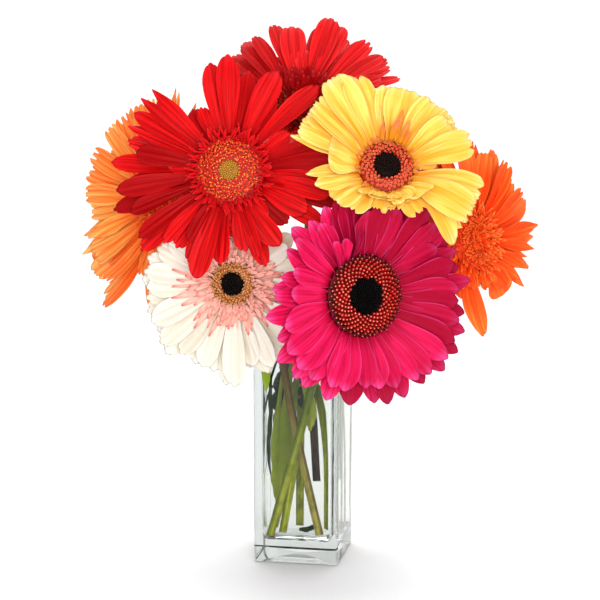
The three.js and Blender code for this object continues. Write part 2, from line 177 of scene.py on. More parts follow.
@dataclass(frozen=True)
class Axes:
    """Three directions at a place: right, up and out for someone who faces the flower."""

    origin: np.ndarray
    right: np.ndarray
    up: np.ndarray
    out: np.ndarray

    @classmethod
    def of_head(cls, name: str, calyx_depth: float) -> "Axes":
        """Finds where a head sits and which way it faces.

        Args:
            name: The flower's name.
            calyx_depth: How far the green cup reaches behind the petals' root.

        Returns:
            Axes whose origin is the middle of the petals' root.
        """
        calyx = node_points(f"{name}_calyx")
        middle = calyx.mean(axis=0)
        out = unit(node_points(f"{name}_disc_eye").mean(axis=0) - middle)
        back = ((calyx - middle) @ out).min()
        right = unit(np.cross([0, 0, 1], out))
        return cls(middle + out * (back + calyx_depth), right, np.cross(out, right), out)

    @property
    def rows(self) -> np.ndarray:
        """Gives the three directions, one a row."""
        return np.array([self.right, self.up, self.out])

    def world(self, points: np.ndarray) -> np.ndarray:
        """Takes points from these axes to the frame's axes."""
        return self.origin + points @ self.rows

    def own(self, points: np.ndarray) -> np.ndarray:
        """Takes points from the frame's axes to these."""
        return (points - self.origin) @ self.rows.T

    def radius(self, node: str) -> float:
        """Gives how far a CAD node reaches from the head's axis."""
        return float(np.linalg.norm(self.own(node_points(node))[:, :2], axis=1).max())

    def height(self, node: str) -> tuple[float, float]:
        """Gives the lowest and highest place of a CAD node along the head's axis."""
        along = self.own(node_points(node))[:, 2]
        return float(along.min()), float(along.max())


WORLD_AXES = Axes(np.zeros(3), *np.eye(3))


@dataclass
class Mesh:
    """One piece's points, faces and marks, gathered until it becomes an object.

    A point's mark is its share along the petal, its place across it from -1 to 1, and a tint
    that is the same all over one petal, with 1 on the underside and 0 on top as the fourth.
    """

    points: list[np.ndarray] = field(default_factory=list)
    faces: list[list[int]] = field(default_factory=list)
    marks: list[np.ndarray] = field(default_factory=list)
    dress: list[int] = field(default_factory=list)
    size: int = 0

    def add(self, points: np.ndarray, faces: list[list[int]], marks: np.ndarray) -> None:
        """Adds a closed body, dressed in the piece's first material.

        Args:
            points: Its corners, one a row.
            faces: The corners of each face, counted from its own first one.
            marks: Four numbers for each corner.
        """
        self.points.append(points)
        self.marks.append(marks)
        self.faces.extend([corner + self.size for corner in row] for row in faces)
        self.dress.extend([0] * len(faces))
        self.size += len(points)

    def plain(self, body: Body, share: np.ndarray | float = 0.0, across: np.ndarray | float = 0.0,
              tint: float = 0.5) -> None:
        """Adds a closed body that has one tint and no underside.

        Args:
            body: Its points and faces.
            share: The share along it at each point, or at all of them.
            across: The place across it, in the same way.
            tint: Its tint.
        """
        points, faces = body
        marks = np.zeros((len(points), 4))
        marks[:, 0], marks[:, 1], marks[:, 2] = share, across, tint
        self.add(points, faces, marks)

    def piece(self, name: str, axes: Axes, materials: list[bpy.types.Material], nodes: list[str],
              slot: str) -> bpy.types.Object:
        """Makes the object and hides the CAD nodes that it stands for.

        Args:
            name: The piece's name.
            axes: The axes that its points are in.
            materials: Its materials, in the order of `dress`.
            nodes: The CAD nodes that it replaces.
            slot: Not used.

        Returns:
            The object, riding on the root body.
        """
        data = bpy.data.meshes.new(name)
        points = axes.world(np.vstack(self.points)) * MM
        data.from_pydata(points.tolist(), [], self.faces)
        marks = np.vstack(self.marks).astype(np.float32)
        place = data.attributes.new("place", "FLOAT_VECTOR", "POINT")
        place.data.foreach_set("vector", marks[:, :3].ravel())
        under = data.attributes.new("under", "FLOAT", "POINT")
        under.data.foreach_set("value", marks[:, 3].copy())
        for material in materials:
            data.materials.append(material)
        data.polygons.foreach_set("material_index", self.dress)
        data.polygons.foreach_set("use_smooth", [True] * len(self.faces))
        data.update()
        made = put(name, data)
        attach(made, "root")
        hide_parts(*nodes)
        log.info("%s: %d points, %d faces", name, len(data.vertices), len(data.polygons))
        return made


def closed_sheet(top: np.ndarray, under: np.ndarray, marks: np.ndarray) -> Sheet:
    """Joins two skins at their rims into one thin closed body.

    Args:
        top: The upper skin, rows by columns by 3.
        under: The lower skin, of the same size. Its rim isn't used.
        marks: Three numbers for each place, rows by columns by 3.

    Returns:
        Points, faces and marks for Mesh.add.
    """
    rows, columns = top.shape[:2]
    upper = np.arange(rows * columns).reshape(rows, columns)
    lower = upper.copy()
    lower[1:-1, 1:-1] = rows * columns + np.arange((rows - 2) * (columns - 2)).reshape(rows - 2, -1)
    faces = []
    for grid, order in ((upper, (0, 1, 2, 3)), (lower, (3, 2, 1, 0))):
        corners = [grid[:-1, :-1], grid[1:, :-1], grid[1:, 1:], grid[:-1, 1:]]
        faces += np.stack([corners[k].ravel() for k in order], axis=1).tolist()
    inside = under[1:-1, 1:-1].reshape(-1, 3)
    points = np.vstack([top.reshape(-1, 3), inside])
    both = np.vstack([marks.reshape(-1, 3), marks[1:-1, 1:-1].reshape(-1, 3)])
    side = np.concatenate([np.zeros(rows * columns), np.ones(len(inside))])
    return points, faces, np.column_stack([both, side])


def rings_body(rings: np.ndarray) -> Body:
    """Joins rings of equally many points into a closed body, its two ends capped flat.

    Args:
        rings: Rings by points by 3.

    Returns:
        Points and faces.
    """
    count, size = rings.shape[:2]
    faces = []
    for i in range(count - 1):
        for j in range(size):
            a, b = i * size + j, i * size + (j + 1) % size
            faces.append([a, b, b + size, a + size])
    faces.append(list(range(size))[::-1])
    faces.append(list(range((count - 1) * size, count * size)))
    return rings.reshape(-1, 3), faces


def turned(profile: list[tuple[float, float]], sides: int) -> Body:
    """Turns a profile about the third axis into a closed body.

    Args:
        profile: Radius and height pairs, from the bottom up.
        sides: How many sides it has.

    Returns:
        Points and faces.
    """
    circle = np.column_stack([np.cos(clock(sides)), np.sin(clock(sides))])
    return rings_body(np.array([np.column_stack([circle * r, np.full(sides, z)]) for r, z in profile]))


# ---------------- finishes

SMOOTH = {"interpolation_type": "SMOOTHSTEP"}
NOISE_RANGE = (0.3, 0.7)            # where most values of a noise lie
TINT_STEP = 61.0                    # sets the noise of one petal well apart from the next one's
PETAL_SIZE = (12, 52.8)             # a usual petal's width and length


def add_node(tree: bpy.types.NodeTree, kind: str, settings: dict[str, Any] | None = None,
             inputs: dict[str | int, Any] | None = None) -> bpy.types.Node:
    """Adds a node with its settings, values and links.

    Args:
        tree: The node tree that it goes into.
        kind: The node's Blender type, without the ShaderNode in front.
        settings: Its own properties by name.
        inputs: Values or output sockets by the name or number of the input socket.

    Returns:
        The node.
    """
    made = tree.nodes.new(f"ShaderNode{kind}")
    for name, value in (settings or {}).items():
        setattr(made, name, value)
    for name, value in (inputs or {}).items():
        if isinstance(value, Socket):
            tree.links.new(value, made.inputs[name])
        else:
            made.inputs[name].default_value = value
    return made


class Coat:
    """A material under way: the colours laid on it so far, and the patterns that guide them.

    A mask is a mark or pattern, two values of it, and how much comes through at each of them. It
    goes smoothly from one to the other, and from nothing to all if only the two values are given.
    """

    def __init__(self, name: str, colour: str) -> None:
        """Starts a material with one colour all over.

        Args:
            name: The material's name.
            colour: The colour.
        """
        self.material = bpy.data.materials.new(name)
        self.material.use_nodes = True
        self.tree = self.material.node_tree
        self.tree.nodes.clear()
        self.colour: Any = linear(colour)

    @cached_property
    def place(self) -> list[Socket]:
        """Reads three marks of the mesh: the share along, the place across and the tint."""
        mark = add_node(self.tree, "Attribute", {"attribute_name": "place"})
        return list(add_node(self.tree, "SeparateXYZ", {}, {0: mark.outputs["Vector"]}).outputs)

    @cached_property
    def away(self) -> Socket:
        """Gives the distance from the middle line, 1 being the edge."""
        across = self.place[1]
        return add_node(self.tree, "Math", {"operation": "ABSOLUTE"}, {0: across}).outputs[0]

    def lay(self, colour: str, *masks: tuple) -> None:
        """Lays a colour over the ones below.

        Args:
            colour: The colour.
            *masks: Where it goes. It shows where all of them let it through.
        """
        share = None
        for mask in masks:
            part = add_node(self.tree, "MapRange", SMOOTH, dict(enumerate(mask))).outputs[0]
            share = part if share is None else add_node(
                self.tree, "Math", {"operation": "MULTIPLY"}, {0: share, 1: part}).outputs[0]
        self.colour = add_node(self.tree, "Mix", {"data_type": "RGBA"}, {
            0: share, 6: self.colour, 7: linear(colour)}).outputs[2]

    def back(self, colour: str, share: float) -> None:
        """Lays a colour over the underside.

        Args:
            colour: The colour.
            share: How much of it there is, from 0 to 1.
        """
        under = add_node(self.tree, "Attribute", {"attribute_name": "under"}).outputs["Fac"]
        part = add_node(self.tree, "Math", {"operation": "MULTIPLY"}, {0: under, 1: share})
        self.colour = add_node(self.tree, "Mix", {"data_type": "RGBA"}, {
            0: part.outputs[0], 6: self.colour, 7: linear(colour)}).outputs[2]

    def fibres(self, piece: tuple[float, float], fibre: tuple[float, float], detail: float = 2) -> Socket:
        """Gives noise drawn out along the piece.

        Args:
            piece: The usual width and length of such a piece, in millimetres.
            fibre: The width and length of one fibre.
            detail: How fine the noise goes.

        Returns:
            The noise's value socket, from 0 to 1.
        """
        across, along = (whole / part for whole, part in zip(piece, fibre))
        stretched = add_node(self.tree, "CombineXYZ")
        for i, count in enumerate((along, across / 2, TINT_STEP)):
            part = add_node(self.tree, "Math", {"operation": "MULTIPLY"}, {0: self.place[i], 1: count})
            self.tree.links.new(part.outputs[0], stretched.inputs[i])
        noise = add_node(self.tree, "TexNoise", {}, {
            "Vector": stretched.outputs[0], "Scale": 1.0, "Detail": detail})
        return noise.outputs["Fac"]

    def specks(self, size: float, detail: float = 2) -> Socket:
        """Gives even noise in the object's own space.

        Args:
            size: The size of a speck in millimetres.
            detail: How fine the noise goes.

        Returns:
            The noise's value socket, from 0 to 1.
        """
        space = add_node(self.tree, "TexCoord")
        noise = add_node(self.tree, "TexNoise", {}, {
            "Vector": space.outputs["Object"], "Scale": 1 / (size * MM), "Detail": detail})
        return noise.outputs["Fac"]

    def skin(self, relief: tuple[Socket, float, float], rough: tuple, gloss: float, glow: float = 0.0,
             down: float = 0.0) -> bpy.types.Material:
        """Gives the material of a matt or moist skin, which may be thin enough to let light through.

        Args:
            relief: The pattern that stands up, how strongly, and the millimetres from its 0 to its 1.
            rough: The mask that gives the roughness.
            gloss: The strength of the mirroring.
            glow: The share of the light that comes through.
            down: The strength of the sheen that fine hairs give.

        Returns:
            The material.
        """
        pattern, strength, depth = relief
        normal = add_node(self.tree, "Bump", {}, {
            "Height": pattern, "Strength": strength, "Distance": depth * MM}).outputs[0]
        worn = add_node(self.tree, "MapRange", SMOOTH, dict(enumerate(rough)))
        last = add_node(self.tree, "BsdfPrincipled", {}, {
            "Base Color": self.colour, "Roughness": worn.outputs[0], "Normal": normal,
            "Specular IOR Level": gloss, "Sheen Weight": down})
        if glow:
            through = add_node(self.tree, "BsdfTranslucent", {}, {
                "Color": self.colour, "Normal": normal})
            last = add_node(self.tree, "MixShader", {}, {
                0: glow, 1: last.outputs[0], 2: through.outputs[0]})
        add_node(self.tree, "OutputMaterial", {}, {0: last.outputs[0]})
        return self.material


@dataclass(frozen=True)
class PetalFinish:
    """Living petal: a thin, moist skin of rounded cells. Satin, and it lets some light through.

    Its lines of cells are a tenth of a millimetre wide. They are drawn wide enough to show. The
    pairs of values are where in its noise, or across the petal, each mask starts and ends.
    """

    name: str
    body: str
    root: str
    tip: str
    deep: str
    back: str
    root_from: float = 0.02
    root_to: float = 0.35
    tip_from: float = 0.8
    streak: str | None = None
    streaks: float = 0.35
    streak_at: tuple[float, float] = (0.46, 0.6)
    streak_from: float = 0.1
    streak_to: float = 0.75
    # `edge` is the strength of the paler rims: partly the petal's own colour, partly a painted highlight.
    edge: float = 0.08
    pale_rim_and_highlight_at: tuple[float, float] = (0.8, 1.0)
    # `ribs` is the strength of a painted shade in the two long grooves, in the deep colour.
    ribs: float = 0.4
    groove_shade_width: float = 0.14
    lines: float = 0.5
    fine_line: tuple[float, float] = (0.75, 33)
    fine_at: tuple[float, float] = (0.46, 0.64)
    broad_line: tuple[float, float] = (2, 48)
    broad_at: tuple[float, float] = (0.44, 0.64)
    vary: float = 0.5
    vary_at: tuple[float, float] = (0.35, 1.0)
    behind: float = 0.8
    relief: tuple[float, float] = (0.6, 0.5)
    roughness: tuple[float, float] = (0.37, 0.55)
    gloss: float = 0.12
    glow: float = 0.14

    def material(self) -> bpy.types.Material:
        """Builds the material.

        Returns:
            The material.
        """
        coat = Coat(self.name, self.root)
        along, _, tint = coat.place
        fine = coat.fibres(PETAL_SIZE, self.fine_line, 2)
        broad = coat.fibres(PETAL_SIZE, self.broad_line, 1)
        beside = add_node(coat.tree, "Math", {"operation": "SUBTRACT"}, {
            0: coat.away, 1: GROOVE_AT})
        groove = add_node(coat.tree, "Math", {"operation": "ABSOLUTE"}, {0: beside.outputs[0]})
        both = add_node(coat.tree, "Math", {"operation": "ADD"}, {0: fine, 1: broad})
        coat.lay(self.body, (along, self.root_from, self.root_to))
        coat.lay(self.tip, (along, self.tip_from, 1.0))
        if self.streak:
            coat.lay(self.streak, (broad, *self.streak_at, 0, self.streaks),
                     (along, self.streak_from, self.streak_to, 1, 0))
        # Painted shade: the deep colour laid in the two long grooves, where shade falls.
        coat.lay(self.deep, (groove.outputs[0], 0.0, self.groove_shade_width, self.ribs, 0))
        coat.lay(self.deep, (fine, *self.fine_at, 0, self.lines))
        coat.lay(self.deep, (broad, *self.broad_at, 0, self.lines))
        # Darker by the petal's tint. The tint is random unless it is set by where the petal stands, as by
        # shaded() and for the yellow petals listed with a tint of 1. There it is painted shade.
        coat.lay(self.deep, (tint, *self.vary_at, 0, self.vary))
        # Paler rims: partly the petal's own colour and partly a painted highlight.
        coat.lay(self.tip, (coat.away, *self.pale_rim_and_highlight_at, 0, self.edge))
        coat.back(self.back, self.behind)
        return coat.skin((both.outputs[0], *self.relief), (fine, *NOISE_RANGE, *self.roughness),
                         self.gloss, self.glow)


@dataclass(frozen=True)
class FloretFinish:
    """Tube florets: fleshy little trumpets with pale pollen-dusted ends, darker at the foot and in the
    throat as painted shade.

    A pollen grain is a twentieth of a millimetre. The dust is drawn coarse enough to show.
    """

    name: str
    base: str
    body: str
    end: str
    rim: str | None = None
    rim_at: tuple[float, float] = (0.62, 0.95)
    base_shade_to: float = 0.45
    end_from: float = 0.78
    ends: tuple[float, ...] = (0.0, 0.5, 0.35, 1)
    dust: float = 0.5
    dust_at: tuple[float, ...] = (0.35, 0.75, 0, 0.3)
    relief: tuple[float, float] = (0.4, 0.1)
    roughness: tuple[float, float] = (0.35, 0.6)
    gloss: float = 0.3

    def material(self) -> bpy.types.Material:
        """Builds the material.

        Returns:
            The material.
        """
        coat = Coat(self.name, self.body)
        along, out, tint = coat.place
        grain = coat.specks(self.dust)
        if self.rim:
            coat.lay(self.rim, (out, *self.rim_at))
        # Painted shade: the darker base colour at each floret's foot and in its throat, where the florets
        # crowd.
        coat.lay(self.base, (along, 0.0, self.base_shade_to, 1, 0))
        coat.lay(self.end, (along, self.end_from, 1.0), (tint, *self.ends))
        coat.lay(self.base, (grain, *self.dust_at))
        return coat.skin((grain, *self.relief), (grain, *NOISE_RANGE, *self.roughness), self.gloss)


@dataclass(frozen=True)
class GreenFinish:
    """Living green skin: waxy, finely ribbed and downy. It is darker at the top, a painted shade under the
    heads, and paler lower down.

    `piece` is the usual width and length of what it covers, and `rib` the width and length of one
    of its ribs. A stalk counts from one side to the other, half its way round.
    """

    name: str
    upper: str
    lower: str
    streak: str
    back: str
    piece: tuple[float, float] = (7.26, 330)
    rib: tuple[float, float] = (0.33, 66)
    rib_at: tuple[float, ...] = (0.4, 0.68, 0, 0.5)
    blotch: float = 9
    blotch_at: tuple[float, ...] = (0.45, 0.7, 0, 0.45)
    pimple: float = 0.6
    pimple_height: float = 0.4
    top_shade_at: tuple[float, float] = (0.3, 1.0)
    behind: float = 0.7
    relief: tuple[float, float] = (0.6, 0.3)
    roughness: tuple[float, float] = (0.38, 0.6)
    gloss: float = 0.2
    glow: float = 0.0
    down: float = 0.0
    # `sides` is the strength of a painted shade down two opposite sides of a stalk.
    sides: float = 0.0
    side_shade_at: tuple[float, float] = (0.1, 0.75)

    def material(self) -> bpy.types.Material:
        """Builds the material.

        Returns:
            The material.
        """
        coat = Coat(self.name, self.upper)
        fine = coat.fibres(self.piece, self.rib, 3)
        blotch = coat.specks(self.blotch)
        # Painted shade: darker at the top, under the heads, and paler towards the foot.
        coat.lay(self.lower, (coat.place[0], *self.top_shade_at))
        if self.sides:
            # Painted shade down two opposite sides of a stalk.
            coat.lay(self.streak, (coat.away, *self.side_shade_at, self.sides, 0))
        coat.lay(self.streak, (fine, *self.rib_at))
        coat.lay(self.streak, (blotch, *self.blotch_at))
        coat.back(self.back, self.behind)
        pimples = add_node(coat.tree, "Math", {"operation": "MULTIPLY"}, {
            0: coat.specks(self.pimple), 1: self.pimple_height})
        both = add_node(coat.tree, "Math", {"operation": "ADD"}, {0: fine, 1: pimples.outputs[0]})
        return coat.skin((both.outputs[0], *self.relief), (blotch, *NOISE_RANGE, *self.roughness),
                         self.gloss, self.glow, self.down)


@dataclass(frozen=True)
class ClearFinish:
    """A clear body that light passes through: pressed soda-lime glass, or still water."""

    name: str
    colour: str
    ior: float
    wave_size: float
    wave_depth: float
    depth_tint: str
    density: float
    wave_share: float = 0.5
    mirror: str = "#959595"

    def material(self) -> bpy.types.Material:
        """Builds the material.

        Returns:
            The material.
        """
        coat = Coat(self.name, self.colour)
        wave = add_node(coat.tree, "Bump", {}, {
            "Height": coat.specks(self.wave_size, 0), "Strength": self.wave_share,
            "Distance": self.wave_depth * MM})
        clear = add_node(coat.tree, "BsdfPrincipled", {}, {
            "Base Color": coat.colour, "Roughness": 0.0, "IOR": self.ior, "Transmission Weight": 1.0,
            "Normal": wave.outputs[0], "Specular Tint": linear(self.mirror)})
        depth = add_node(coat.tree, "VolumeAbsorption", {}, {
            "Color": linear(self.depth_tint), "Density": self.density})
        add_node(coat.tree, "OutputMaterial", {}, {0: clear.outputs[0], 1: depth.outputs[0]})
        return coat.material


@dataclass(frozen=True)
class MattFinish:
    """Matt and without gloss: studio paper with a faint tooth, or the dark band at the glass foot's edge,
    a painted contact shadow.

    The tooth of paper is a fifth of a millimetre. It is drawn coarse enough to show.
    """

    name: str
    colour: str
    tooth: float = 2.5
    relief: tuple[float, float] = (0.1, 0.05)
    roughness: tuple[float, float] = (0.85, 0.95)
    gloss: float = 0.1

    def material(self) -> bpy.types.Material:
        """Builds the material.

        Returns:
            The material.
        """
        coat = Coat(self.name, self.colour)
        tooth = coat.specks(self.tooth)
        return coat.skin((tooth, *self.relief), (tooth, *NOISE_RANGE, *self.roughness), self.gloss)


# ---------------- petals

# The nets that petals are drawn on. Rows run from root to tip and columns from edge to edge.
ROWS = np.concatenate([np.linspace(0, 0.7, 11), np.linspace(0.75, 0.97, 7), [1.0]])
HALF_COLUMNS = [0.16, 0.32, 0.46, 0.6, 0.75, 0.88, 0.97, 1.0]
COLUMNS = np.array([-c for c in HALF_COLUMNS[::-1]] + [0.0] + HALF_COLUMNS)
SMALL_ROWS = np.array([0, 0.16, 0.34, 0.52, 0.7, 0.84, 0.94, 1.0])
SMALL_COLUMNS = np.array([-1, -0.82, -0.42, 0, 0.42, 0.82, 1.0])
MIDLINE_STEPS = 80

# Places and widths across a petal, the middle line being 0 and the edge 1.
GROOVE_AT = 0.34                    # the two long grooves, and the notches where they end
GROOVE_WIDTH = 0.12
NOTCH_WIDTH = 0.13
KEEL_WIDTH = 0.14                   # the ridge along the middle
SPLIT_WIDTH = 0.16                  # the cut in the middle of the tip

# Places along a petal, the root being 0 and the tip 1: where each thing starts and is complete.
WIDENS_FROM, NARROWS_TO = -0.1, 1.1
FLATTENS = (0.05, 0.85)
LINES_START = (0.05, 0.3)
LINES_FADE = (0.85, 1)
RUFFLED = (0.2, 0.9)
LEANS = (0, 0.35)

ROOT_WIDTH = 0.36                   # a petal's width at the root, as a share of its full width
TIP_NARROWING = 0.16                # how much of its width it loses again towards the tip
LINES_LOST = 0.7                    # how much shallower its grooves are at the tip
KEEL_SHARE = 0.4                    # how high the keel stands, as a share of the grooves' depth
RIPPLES = 1.7                       # waves of the ruffled edges from root to tip
RIPPLE_SHIFT = 0.23                 # how far one edge's waves lag behind the other's
ROOT_THICKNESS = 1.5                # thickness at the root, as a share of the usual one
THICKNESS_LOST = 0.8                # how much of that it has lost at the tip
EDGE_POWER = 6                      # how late the thickness runs out towards the edges
FLATTEST = 1e-3                     # the least angle of a channel, in radians

# How unlike each other grown petals are, in the unit of each size.
UNEVEN = {"rise": 1.5, "bend": 4, "channel": 13, "spread": 12, "roll": 4, "twist": 8, "sway": 1.3}
UNEVEN_NOTCH = 0.5                  # the same for the notches, as a share of their depth


@dataclass(frozen=True)
class Petal:
    """One strap-shaped petal, or any small blade of that build.

    It leaves its root at `rise` and has bent back by `bend` at its tip. `channel` is how far its
    edges stand up at the root and `spread` at the tip. It leans over sideways by `roll`, turns by
    `twist` and drifts by `sway`. Its tip starts at the share `tip` from the end, is blunt if
    `point` is 0 and sharp if it is 1, and has notches beside a `split`. It is widest at `belly`.
    """

    angle: float = 0
    reach: float = 55
    width: float = 12
    rise: float = 8
    bend: float = 18
    channel: float = 42
    spread: float = 8
    roll: float = 9
    twist: float = 0
    sway: float = 0
    notch: float = 0.8
    split: float = 0
    tip: float = 0.24
    point: float = 0.1
    belly: float = 0.68
    groove: float = 0.45
    ruffle: float = 0.3
    phase: float = 0
    thickness: float = 0.45
    tint: float = 0

    def at(self, angle: float, reach: float, **changes: float) -> "Petal":
        """Gives such a petal at another clock angle and reach, with other fields changed."""
        return replace(self, angle=angle, reach=reach, **changes)

    def uneven(self, rng: Generator, amount: float = 1) -> "Petal":
        """Gives the petal with the small unevenness that each grown one has.

        Args:
            rng: The seeded source of the differences.
            amount: How large they are, 1 being usual.

        Returns:
            The changed petal.
        """
        draw = rng.normal(size=len(UNEVEN) + 1).clip(-2, 2) * amount
        grown = {name: getattr(self, name) + much * one for (name, much), one in zip(UNEVEN.items(), draw)}
        return replace(self, **grown, notch=self.notch * (1 + UNEVEN_NOTCH * draw[-1]),
                       phase=float(rng.random()), tint=self.tint or float(rng.random()))

    def sheet(self, start: float, height: float, small: bool = False) -> Sheet:
        """Shapes the petal in its head's axes.

        Args:
            start: The radius at which it leaves the head.
            height: The height there.
            small: True for a small blade, whose net is coarser.

        Returns:
            Points, faces and marks for Mesh.add.
        """
        # The outline: how far each point is from the root, and how wide the petal is there. A blunt
        # tip is half an ellipse, with powers of 2 and 0.5, and a point straightens both its sides.
        length = self.reach - start
        across, share = np.meshgrid(SMALL_COLUMNS, SMALL_ROWS) if small else np.meshgrid(COLUMNS, ROWS)
        away = np.abs(across)
        blunt = (1 - away ** (2 - 0.7 * self.point)).clip(0) ** (0.5 + 0.4 * self.point)
        edge = 1 - self.tip + self.tip * blunt
        teeth = hill(away, GROOVE_AT, NOTCH_WIDTH) * self.notch + hill(away, 0, SPLIT_WIDTH) * self.split
        share = share * (edge - teeth / length)
        width = ROOT_WIDTH + (1 - ROOT_WIDTH) * ease(share, WIDENS_FROM, self.belly)
        width = width * (1 - TIP_NARROWING * ease(share, self.belly, NARROWS_TO))
        half = self.width / 2 * width

        # The middle line, which rises and bends back on its way out.
        fine = np.linspace(0, 1, MIDLINE_STEPS)
        slope = np.radians(self.rise - self.bend * fine)
        step = length / (len(fine) - 1)
        run, climb = (np.concatenate([[0], np.cumsum(part[1:] * step)])
                      for part in (np.cos(slope), np.sin(slope)))
        radius = start + np.interp(share, fine, run)
        level = height + np.interp(share, fine, climb)
        here = np.interp(share, fine, slope)

        # The section: a channel that flattens, with grooves, a keel and ruffled edges.
        cup = np.radians(self.channel + (self.spread - self.channel) * ease(share, *FLATTENS))
        cup = np.where(np.abs(cup) < FLATTEST, FLATTEST, cup)
        sideways = half * np.sin(across * cup) / cup
        lines = ease(share, *LINES_START) * (1 - LINES_LOST * ease(share, *LINES_FADE))
        ripple = np.sin(2 * math.pi * (RIPPLES * share + self.phase + RIPPLE_SHIFT * np.sign(across)))
        proud = half * (1 - np.cos(across * cup)) / cup
        proud = proud - self.groove * lines * hill(away, GROOVE_AT, GROOVE_WIDTH)
        proud = proud + KEEL_SHARE * self.groove * lines * hill(away, 0, KEEL_WIDTH)
        proud = proud + self.ruffle * ripple * away ** 2 * ease(share, *RUFFLED)

        # The lean and twist about the middle line, and the thickness.
        turn = np.radians(self.roll * ease(share, *LEANS) + self.twist * share)
        along = sideways * np.cos(turn) - proud * np.sin(turn) + self.sway * share ** 2
        proud = sideways * np.sin(turn) + proud * np.cos(turn)
        thick = self.thickness * (ROOT_THICKNESS - THICKNESS_LOST * share) * (1 - away ** EDGE_POWER)

        way = math.radians(self.angle)
        out = np.array([math.cos(way), math.sin(way), 0])
        side = np.array([-out[1], out[0], 0])
        skins = [(radius - lift * np.sin(here))[..., None] * out + along[..., None] * side
                 + (level + lift * np.cos(here))[..., None] * WORLD_AXES.out
                 for lift in (proud, proud - thick)]
        marks = np.stack([share, across, np.full_like(share, self.tint)], axis=-1)
        return closed_sheet(*skins, marks)


def laid(like: Petal, *spots: tuple) -> list[Petal]:
    """Lays petals one by one round a head.

    Args:
        like: What the petals are like.
        *spots: Clock angle and reach of each, its width unless that is the usual one, and a dict of
            other changes where it has any.

    Returns:
        The petals.
    """
    petals = []
    for angle, reach, *other in spots:
        changes = other.pop() if other and isinstance(other[-1], dict) else {}
        petals.append(like.at(angle, reach, width=other[0] if other else like.width, **changes))
    return petals


# ---------------- the parts of a head

# The rings of one floret, from its foot up, with the mark of each ring last, which guides its colour.
# A tube's ring is so many mouths and lobes wide, and stands at a share of the height, with what its
# tips have more of it and what a lobe's reach takes off. Beads and buds have shares of width and
# height. A thread has shares of its length, and its thickness in millimetres.
TUBE = ((0.7, 0, 0, 0, 0, 0.0), (0.8, 0, 0.62, 0, 0, 0.4), (1, 0.6, 0.9, 0.1, 0, 0.75),
        (1, 1, 0.86, -0.02, 0.25, 0.95), (0.5, 0, 0.78, 0, 0, 0.35))
BEAD = ((0.75, 0.0, 0.0), (0.95, 0.45, 0.4), (1.0, 0.7, 0.6), (0.8, 0.88, 0.78), (0.42, 0.97, 0.95),
        (0.1, 1.0, 1.0))
BUD = ((1, 0, 0.0), (0.95, 0.5, 0.4), (0.55, 0.88, 0.8), (0.12, 1, 1.0))
THREAD = ((0, 0.14, 0.5), (0.5, 0.14, 0.7), (0.72, 0.26, 1.0), (0.9, 0.28, 1.0), (1.0, 0.1, 1.0))
TUBE_SIDES, BEAD_SIDES, BUD_SIDES, THREAD_SIDES, CUSHION_SIDES = 10, 8, 7, 5, 48
MOUTH_OPENS = (0.8, 0.2)            # a tube's mouth when shut, and what it gains, as shares
LOBE_OPENS = (0.15, 0.85)           # the same for its lobes
LOBE_UNEVEN = 0.12
THREAD_HOOKS = (0.25, 0.6)          # the least hook of a thread as a share of its length, and the play
THREAD_FROM = 0.6                   # how high in its floret a thread starts
THREAD_BOWS = 0.35                  # how much height a thread loses by its hook
NEAT, LOOSE = (0.05, 3), (0.14, 9)  # how much heights differ, as a share, and leans, in degrees
LEAN_POWER = 1.3                    # keeps the florets near the eye upright
ROOTED = 0.5                        # how deep they stand in their cushion
FALLS_FROM, FALL_POWER = 0.55, 1.5  # where the disc starts to fall off to its edge, and how steeply
OPEN_AT = 0.45                      # how far out the tubes are fully open
SPIRAL_STEP = 0.525                 # packs the spots of a spiral to the wanted distance


class FloretForm(Enum):
    """What the florets of a disc look like from outside."""

    CURLED = "narrow tubes whose lobes curl back round a long thread"
    BEADED = "tight buds with blunt pale ends, in neat spirals"


def marks_of(rings: tuple[tuple, ...], sides: int) -> np.ndarray:
    """Gives the mark of every point of a floret, which its rings hold last."""
    return np.repeat([ring[-1] for ring in rings], sides)


def stood(points: np.ndarray, radius: float, turn: float, lean: float, foot: float) -> np.ndarray:
    """Stands a floret's points on the disc, leaning outwards.

    Args:
        points: Its points, upright over the head's middle.
        radius: How far out it stands.
        turn: The angle at which it stands, in radians.
        lean: How far it leans out.
        foot: The height of its foot.

    Returns:
        The moved points.
    """
    tilt = math.radians(lean)
    c, s = math.cos(tilt), math.sin(tilt)
    x = points[:, 0] * c + points[:, 2] * s + radius
    z = -points[:, 0] * s + points[:, 2] * c + foot
    y = points[:, 1]
    return np.column_stack([x * math.cos(turn) - y * math.sin(turn),
                            x * math.sin(turn) + y * math.cos(turn), z])


def spiral(low: float, high: float, spacing: float) -> np.ndarray:
    """Lays out spots in the spiral order of a daisy's disc.

    Args:
        low: The least radius.
        high: The greatest radius.
        spacing: The distance between neighbours.

    Returns:
        Radius and angle in radians of each spot.
    """
    step = SPIRAL_STEP * spacing
    number = np.arange(int((high / step) ** 2) + 1)
    radius = step * np.sqrt(number + 0.5)
    keep = (radius >= low) & (radius <= high)
    return np.column_stack([radius, np.radians(GOLDEN_ANGLE) * number])[keep]


